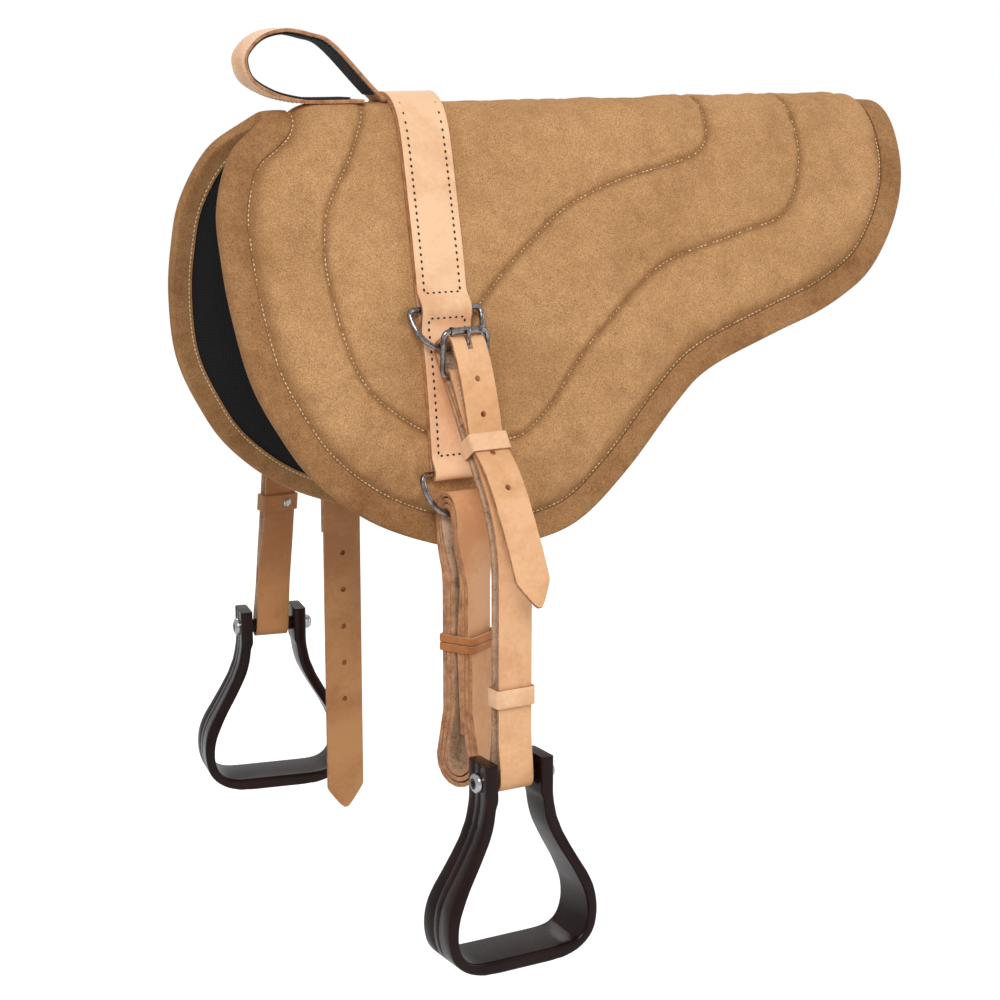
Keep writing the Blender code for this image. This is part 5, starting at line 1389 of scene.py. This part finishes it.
def chape_stitching(name, side):
    """White thread that holds the buckle's turned back end, in two short rows."""
    down = np.arange(HEEL_DROP + 9 * MM, CHAPE_END - 4 * MM, CHAPE_STITCH_PITCH)
    share = smooth((PLIES_JOIN - down) / (PLIES_JOIN - HEEL_DROP))
    out = mix(MIDDLE_PLY, HEEL_OFFSET + HEEL_RADIUS, share) + LEATHER / 2 + THREAD_LIFT
    rows = []
    for across in (-CHAPE_STITCH_ACROSS, CHAPE_STITCH_ACROSS):
        middle = hang(side, out, down, across)
        ahead = hang(side, out, down + MM, across) - middle
        off = hang(side, out + MM, down, across) - middle
        rows.append((middle, unit(ahead), unit(off)))
    stitches(name + "_white_stitching", *all_rows(rows), 3.2 * MM, 1.2 * MM, WHITE,
             name + "_stirrup_leather", "leather")


def buckle_place(along, across, off=0.0):
    rise = Vector((ROLLER_OUT - HEEL_OFFSET, -ROLLER_RISE - HEEL_DROP)).normalized()
    return (HEEL_OFFSET + rise.x * along - rise.y * off,
            HEEL_DROP + rise.y * along + rise.x * off, across)


def buckle(name, side):
    length = math.hypot(ROLLER_OUT - HEEL_OFFSET, ROLLER_RISE + HEEL_DROP)
    frame_line = rounded_box(length - BUCKLE_CORNER, BUCKLE_CORNER,
                             BUCKLE_HALF - BUCKLE_CORNER, BUCKLE_CORNER, 10)
    line = [hang(side, *buckle_place(along, across)) for along, across in frame_line]
    piece = wire(name + "_buckle", line, BUCKLE_WIRE, True, 5)
    done(piece, name + "_buckle", [NICKEL], [name + "_buckle"], angle=60)

    rim, end, waist = ROLLER_WALL * 0.3, ROLLER_LENGTH / 2, ROLLER - 0.6 * MM
    bore = ROLLER - ROLLER_WALL
    profile = [(bore, -end + rim), (bore + rim, -end), (ROLLER - rim, -end),
               (ROLLER, -end + rim), (ROLLER, -end + 8 * rim), (waist, -end + 9.5 * rim),
               (waist, end - 9.5 * rim), (ROLLER, end - 8 * rim), (ROLLER, end - rim),
               (ROLLER - rim, end),
               (bore + rim, end), (bore, end - rim), (bore, -end + rim)]
    roller = turned(name + "_buckle_roller", profile)
    moved_by(roller, Matrix.Translation(hang(side, *buckle_place(length, 0))))
    done(roller, name + "_buckle_roller", [NICKEL], [name + "_buckle_roller"])

    eye = BUCKLE_WIRE + BAR_CLEARANCE + TONGUE_WIRE
    rest = ROLLER + BAR_CLEARANCE + TONGUE_WIRE
    line = [(along, off) for off, along in arc((0, 0), eye, math.radians(40),
                                               math.radians(-180), 9)]
    line += [(length - rest / 2, rest * 0.92), (length, rest),
             (length + TONGUE_TIP, rest * 0.94)]
    line = evenly(spline_through(line, 5), 0.8 * MM)
    tongue = wire(name + "_buckle_tongue",
                  [hang(side, *buckle_place(along, 0, off)) for along, off in line],
                  TONGUE_WIRE, False, 4)
    done(tongue, name + "_buckle_tongue", [NICKEL], [name + "_buckle_tongue"],
         angle=60)


def keeper(name, side, down):
    """A small leather loop round the plies, closed by a rivet at its back."""
    front = FREE_PLY if down < side["tip_drop"] else MIDDLE_PLY
    low, high = BACK_PLY - LEATHER / 2, front + LEATHER / 2
    grow = KEEPER_CLEARANCE + KEEPER / 2
    corner = grow * 1.1
    loop = rounded_box(high + grow - corner, low - grow + corner,
                       LEATHER_WIDTH / 2 + grow - corner, corner, 6)
    loop.append(loop[0])
    # The off keepers take the off leather's darker finish: painted shade
    finishes = STRAP_FINISHES if side["sign"] < 0 else LEATHER_FINISHES["off"]
    piece = strap(name, loop[::-1], KEEPER_HEIGHT, KEEPER, finishes, rows=6, closed=True,
                  step=1.2 * MM, edge=0.4 * MM)
    lay(piece, lambda a, b, c: hang(side, a, down + c, b))
    done(piece, name, replaces=[name])

    back = low - KEEPER_CLEARANCE - KEEPER
    top, shank = GAP + RIVET_HEIGHT, RIVET_HEAD * 0.42
    profile = [(0, KEEPER * 0.9), (shank, KEEPER * 0.9), (shank, -GAP), (RIVET_HEAD, -GAP)]
    profile += [(r * RIVET_HEAD, -h * top) for r, h in RIVET_SHARES]
    rivet = turned(name + "_rivet", profile, 32)
    lay(rivet, lambda a, b, c: hang(side, back + a, down + b, LEATHER_WIDTH / 5 + c))
    done(rivet, name, [STEEL], [name + "_rivet"])


# Stirrups

def hang_matrix(side):
    centre = Vector(hang(side, LOOP_CENTRE, side["bolt_drop"], 0))
    return (Matrix.Translation(centre)
            @ Euler((0, 0, side["sign"] * side["turn"])).to_matrix().to_4x4())


def stirrup_depth(down):
    return mix(ARM_DEPTH, TREAD_DEPTH, smooth((down - STIRRUP_DROP * 0.25)
                                              / (STIRRUP_DROP * 0.6)))


def half_stirrup(ear, shares):
    """One face of a stirrup, from the ear's top to the middle of the tread."""
    below = STIRRUP_RISE * 0.8
    half = [(ear, STIRRUP_RISE), (ear, -below)]
    half += [(a * STIRRUP_HALF_WIDTH, -b * STIRRUP_DROP) for a, b in shares]
    mirrored = [(-a, b) for a, b in half[::-1]][:2]
    fine = np.array(eased(half + mirrored, 14 * MM, 6))
    fine = fine[fine[:, 0] >= -1e-6]
    return np.vstack([fine, [(0.0, fine[-1, 1])]])


def stirrup(name, side):
    """A moulded stirrup: a rounded section carried from ear to ear, with two mould lines."""
    outer = half_stirrup(EAR_GAP_HALF + EAR, STIRRUP_OUTER_SHARES)
    inner = half_stirrup(EAR_GAP_HALF, STIRRUP_INNER_SHARES)
    marks = np.linspace(0, 1, STIRRUP_SECTIONS)
    lines = []
    for line in (outer, inner):
        reach = lengths_along(line)
        half = np.stack([np.interp(marks * reach[-1], reach, line[:, k]) for k in (0, 1)], 1)
        lines.append(np.vstack([half, (half * (-1, 1))[-2::-1]]))
    outer, inner = lines
    radius = STIRRUP_ROUND
    points = []
    for (ox, oz), (ix, iz) in zip(outer, inner):
        thick = math.hypot(ox - ix, oz - iz)
        depth = float(stirrup_depth(-(oz + iz) / 2))
        section = rounded_box(thick / 2 - radius, radius - thick / 2, depth / 2 - radius,
                              radius, 4)
        section += [(thick / 2 - sunk, centre + off) for centre in MOULD_LINES
                    for off, sunk in MOULD_LINE]
        for a, b in section:
            share = a / thick + 0.5
            points.append((mix(ix, ox, share), b, mix(iz, oz, share)))
    ring_size = len(points) // len(outer)
    faces = faces_between(len(outer), ring_size)[:-ring_size]
    faces += [tuple(range(ring_size)), tuple(range(len(points) - ring_size, len(points)))]
    piece = mesh_piece(name + "_stirrup", points, faces)
    face_outwards(piece)
    use_modifier(piece, "BEVEL", width=STIRRUP_BEVEL, segments=4, limit_method="ANGLE",
                 angle_limit=math.radians(60))
    moved_by(piece, hang_matrix(side))
    done(piece, name + "_stirrup", [MOULDED], [name + "_stirrup"], angle=50)


def bolt_and_sleeve(name, side):
    ear = EAR_GAP_HALF + EAR + GAP
    end = ear + NUT_HEIGHT - NUT_WALL - GAP
    head, rise = BOLT_HEAD, BOLT_HEAD_HEIGHT
    profile = [(r * head, -ear - h * rise) for r, h in BOLT_HEAD_SHARES]
    profile += [(BOLT, -ear), (BOLT, end), (0, end)]
    bolt = turned(name + "_stirrup_bolt", profile)
    bolt.data.materials.append(STEEL)
    bolt.data.materials.append(BLACKED)
    for face in bolt.data.polygons:
        middle = Vector(face.center)
        if middle.x < -ear - rise * 0.5 and math.hypot(middle.y, middle.z) < head * 0.58:
            face.material_index = 1
    moved_by(bolt, hang_matrix(side))
    done(bolt, name + "_stirrup", replaces=[name + "_stirrup_bolt"])

    bore, roof = BOLT + GAP, NUT_HEIGHT - NUT_WALL
    profile = [(r * NUT, h * NUT_HEIGHT) for r, h in NUT_SHARES]
    profile += [(bore, 0), (bore, roof), (0, roof)]
    nut = turned(name + "_stirrup_nut", [(r, h + ear) for r, h in profile])
    moved_by(nut, hang_matrix(side))
    done(nut, name + "_stirrup", [STEEL], [name + "_stirrup_nut"])

    half, rim = EAR_GAP_HALF - GAP, 0.4 * MM
    inside = SLEEVE - SLEEVE_WALL
    profile = [(inside, -half), (SLEEVE - rim, -half), (SLEEVE, -half + rim),
               (SLEEVE, half - rim), (SLEEVE - rim, half), (inside, half), (inside, -half)]
    sleeve = turned(name + "_stirrup_sleeve", profile)
    moved_by(sleeve, hang_matrix(side))
    done(sleeve, name + "_stirrup_sleeve", [MOULDED], [name + "_stirrup_sleeve"])


# Latigo and billet

def hank_draw(down):
    run = HANK_LENGTH / 5
    return HANK_SQUEEZE * float(smooth(down / run) * smooth((HANK_LENGTH - down) / run))


def hank_path():
    """The latigo wound up and down in a flat spiral, from its inner end out."""
    steps = 8
    path = [(LATIGO_LOOP, HANK_LENGTH * 0.9), (LATIGO_LOOP, HANK_LENGTH * 0.5)]
    for turn in range(HANK_HALF_TURNS):
        upwards = turn % 2 == 0
        first = 0 if upwards else math.pi
        centre = 0.0 if upwards else HANK_LENGTH
        arch = -1 if upwards else 1
        for i in range(steps + 1):
            angle = math.pi * i / steps
            radius = LATIGO_LOOP + HANK_PITCH * (turn + i / steps) / 2
            across = math.cos(first + angle) * radius
            path.append((across, centre + arch * math.sin(angle) * radius * HANK_ARCH_SHARE))
        side = -1 if upwards else 1
        for share in (0.2, 0.5, 0.8):
            path.append((side * (LATIGO_LOOP + HANK_PITCH * (turn + 1) / 2),
                         HANK_LENGTH * (share if upwards else 1 - share)))
    return [(across - math.copysign(hank_draw(down), across) + HANK_SHIFT, down)
            for across, down in path[:-1]]


def near_hang(out, down, across):
    """Places of the hank, which turns edge on below the ring."""
    start = bow_centre(-1, LOWER_BAR, SIDES["near"]["lower_ring_lean"])
    turn = HANK_TURN * smooth(down / HANK_TURN_RUN)
    x = across * np.cos(turn) + out * np.sin(turn)
    away = out * np.cos(turn) - across * np.sin(turn)
    return np.stack([start.x + x, start.y - away, start.z - down - HANK_SAG], axis=-1)


def latigo():
    piece = strap("latigo", hank_path(), LATIGO_WIDTH, LATIGO, LATIGO_FINISHES)
    lay(piece, near_hang)
    done(piece, "latigo", replaces=["latigo"])
    outer = LATIGO_LOOP + HANK_PITCH * HANK_HALF_TURNS / 2 + LATIGO / 2 - HANK_SQUEEZE
    high = HANK_SHIFT + outer
    low = HANK_SHIFT - outer + HANK_PITCH / 2
    loop = rounded_box(high, low, LATIGO_WIDTH / 2, KEEPER_CLEARANCE + TIE / 2, 5)
    loop.append(loop[0])
    turns = []
    for k, shift in enumerate((-LACE_SPREAD, LACE_SPREAD)):
        turn = strap("lace_turn_%d" % k, loop[::-1], LACE_WIDTH, TIE, (LACE, LACE, FLESH),
                     rows=6, closed=True, step=1.5 * MM, edge=0.5 * MM)
        lay(turn, lambda a, b, c: near_hang(a, TIE_DROP + shift + c + 0.01 * b, b))
        turns.append(turn)
    pick(*turns)
    bpy.ops.object.join()
    tie = bpy.context.object
    tie.name = "latigo_tie"
    done(tie, "latigo", replaces=["latigo_tie"])


def off_billet():
    """A doubled strap over the off ring, its long end punched and pointed."""
    join = BILLET_RETURN / 2
    front, back = LATIGO / 2 + GAP / 2, -LATIGO / 2 - GAP / 2
    path = [(front, BILLET_LENGTH), (front, join)]
    path += lead(front, LATIGO_LOOP, join, 0, 3, 1)
    path += arc((0, 0), LATIGO_LOOP, 0, -math.pi, 8)[1:]
    path += lead(-LATIGO_LOOP, back, 0, join, 3, 1) + [(back, BILLET_RETURN)]
    piece = strap("off_billet", path, LATIGO_WIDTH, LATIGO, BILLET_FINISHES, tip=TIP_TAPER)
    cutters = []
    for i in range(BILLET_HOLES):
        down = BILLET_FIRST_HOLE + i * BILLET_PITCH
        if down < BILLET_LENGTH - TIP_TAPER:
            cutter = peg(LEATHER_HOLE, (front + 0.6 * MM, down, 0), (1, 0, 0), LATIGO)
            # The hole walls take the near-black painted shade
            cutter.data.materials.append(HOLE_SHADE)
            cutters.append(cutter)
    hollow_out(piece, cutters)
    start = bow_centre(1, LOWER_BAR, SIDES["off"]["lower_ring_lean"])
    lay(piece, lambda out, down, across: np.stack(
        [start.x + across, start.y - out, start.z - down], axis=-1))
    done(piece, "off_billet", replaces=["off_billet"])


def hand_strap():
    """A loop of leather lined with webbing, sewn down in front of the rigging strap."""
    rear = RIG_X + RIG_SLANT - RIG_WIDTH / 2 - GAP
    base = TOP_HEIGHT - SEAM_DIP + GAP + HANDLE_PLY / 2
    line = spline_through([(rear - a * HANDLE_REACH, base + b * HANDLE_RISE)
                           for a, b in HANDLE_SHARES], 6)

    def place(ahead, up, across):
        return np.stack([ahead, across, up], axis=1)

    piece = strap("hand_strap", line[::-1], HANDLE_WIDTH, HANDLE_PLY, STRAP_FINISHES)
    lay(piece, place)
    done(piece, "root", replaces=["handle_strap"])
    lined = shifted(line, (HANDLE_PLY + HANDLE_LINING) / 2 + GAP)[4:-2]
    sewn = evenly(shifted(line, -HANDLE_PLY / 2 - THREAD_LIFT)[3:-1], HANDLE_STITCH_PITCH)
    step = unit(np.diff(sewn, axis=0))
    middle = (sewn[1:] + sewn[:-1]) / 2
    flat = np.zeros(len(step))
    rows = []
    for side in (-1, 1):
        across = flat + side * (HANDLE_WIDTH / 2 - HANDLE_STITCH_INSET)
        rows.append((place(middle[:, 0], middle[:, 1], across),
                     place(step[:, 0], step[:, 1], flat),
                     place(step[:, 1], -step[:, 0], flat)))
    stitches("hand_strap_stitching", *all_rows(rows), 3.0 * MM, 1.1 * MM, WHITE, "root",
             "leather")
    inside = strap("hand_strap_webbing", [tuple(p) for p in lined],
                   HANDLE_WIDTH - 2 * HANDLE_PLY, HANDLE_LINING, (WEBBING, WEBBING, WEBBING))
    lay(inside, place)
    done(inside, "root", replaces=["handle_lining"])


# Studio

def studio():
    deselect()
    bpy.ops.mesh.primitive_plane_add(size=14, location=(0, 0, cad_low.z - FLOOR_DROP))
    floor = bpy.context.object
    floor.name = "floor"
    material, tree, shader, _ = new_finish(
        "studio_white", Base_Color=(0.88, 0.88, 0.88, 1), Roughness=0.9,
        Specular_IOR_Level=0.1)
    seen = node(tree, "LightPath").outputs["Is Camera Ray"]
    glow = node(tree, "Emission", {"Strength": sums(tree, "MULTIPLY", seen, FLOOR_GLOW)})
    both = node(tree, "AddShader", {0: shader.outputs["BSDF"], 1: glow.outputs["Emission"]})
    tree.links.new(both.outputs["Shader"], tree.nodes["Material Output"].inputs["Surface"])
    floor.data.materials.append(material)

    world = bpy.data.worlds.new("studio")
    bpy.context.scene.world = world
    world.use_nodes = True
    tree = world.node_tree
    background = tree.nodes["Background"]
    path = node(tree, "LightPath")
    seen = sums(tree, "MAXIMUM", path.outputs["Is Camera Ray"],
                path.outputs["Is Transmission Ray"])
    strength = level(tree, seen, 0, 1, WORLD_LIGHT, 1.0)
    tree.links.new(strength, background.inputs["Strength"])
    background.inputs["Color"].default_value = (1, 1, 1, 1)

    for name, place, size, energy in LAMPS:
        light = bpy.data.lights.new(name, "AREA")
        light.size = size
        light.energy = energy
        lamp = put_in_scene(name, light)
        lamp.location = place
        aim = LAMPS_AIM - Vector(place)
        lamp.rotation_euler = aim.to_track_quat("-Z", "Y").to_euler()

    camera = bpy.data.cameras.new("camera")
    camera.lens, camera.sensor_width = CAMERA_LENS
    camera.clip_start, camera.clip_end = 0.05, 50
    eye = put_in_scene("camera", camera)
    eye.location = CAMERA_PLACE
    eye.rotation_euler = CAMERA_TURN
    bpy.context.scene.camera = eye
    bpy.context.scene.view_settings.view_transform = "Standard"


def main():
    for name, side in SIDES.items():
        suede_cover(name, side["sign"])
    lining_and_foam()
    edge_binding()
    pad_stitching()
    rigging_strap()
    rig_stitching()
    hand_strap()
    for name, side in SIDES.items():
        ring(name + "_upper_ring", side["sign"], UPPER_BAR, UPPER_RING_LEAN)
        ring(name + "_lower_ring", side["sign"], LOWER_BAR, side["lower_ring_lean"])
        stirrup_leather(name, side)
        chape_stitching(name, side)
        buckle(name, side)
        keeper(name + "_upper_keeper", side, side["upper_keeper"])
        keeper(name + "_lower_keeper", side, side["lower_keeper"])
        stirrup(name, side)
        bolt_and_sleeve(name, side)
    latigo()
    off_billet()
    studio()


main()
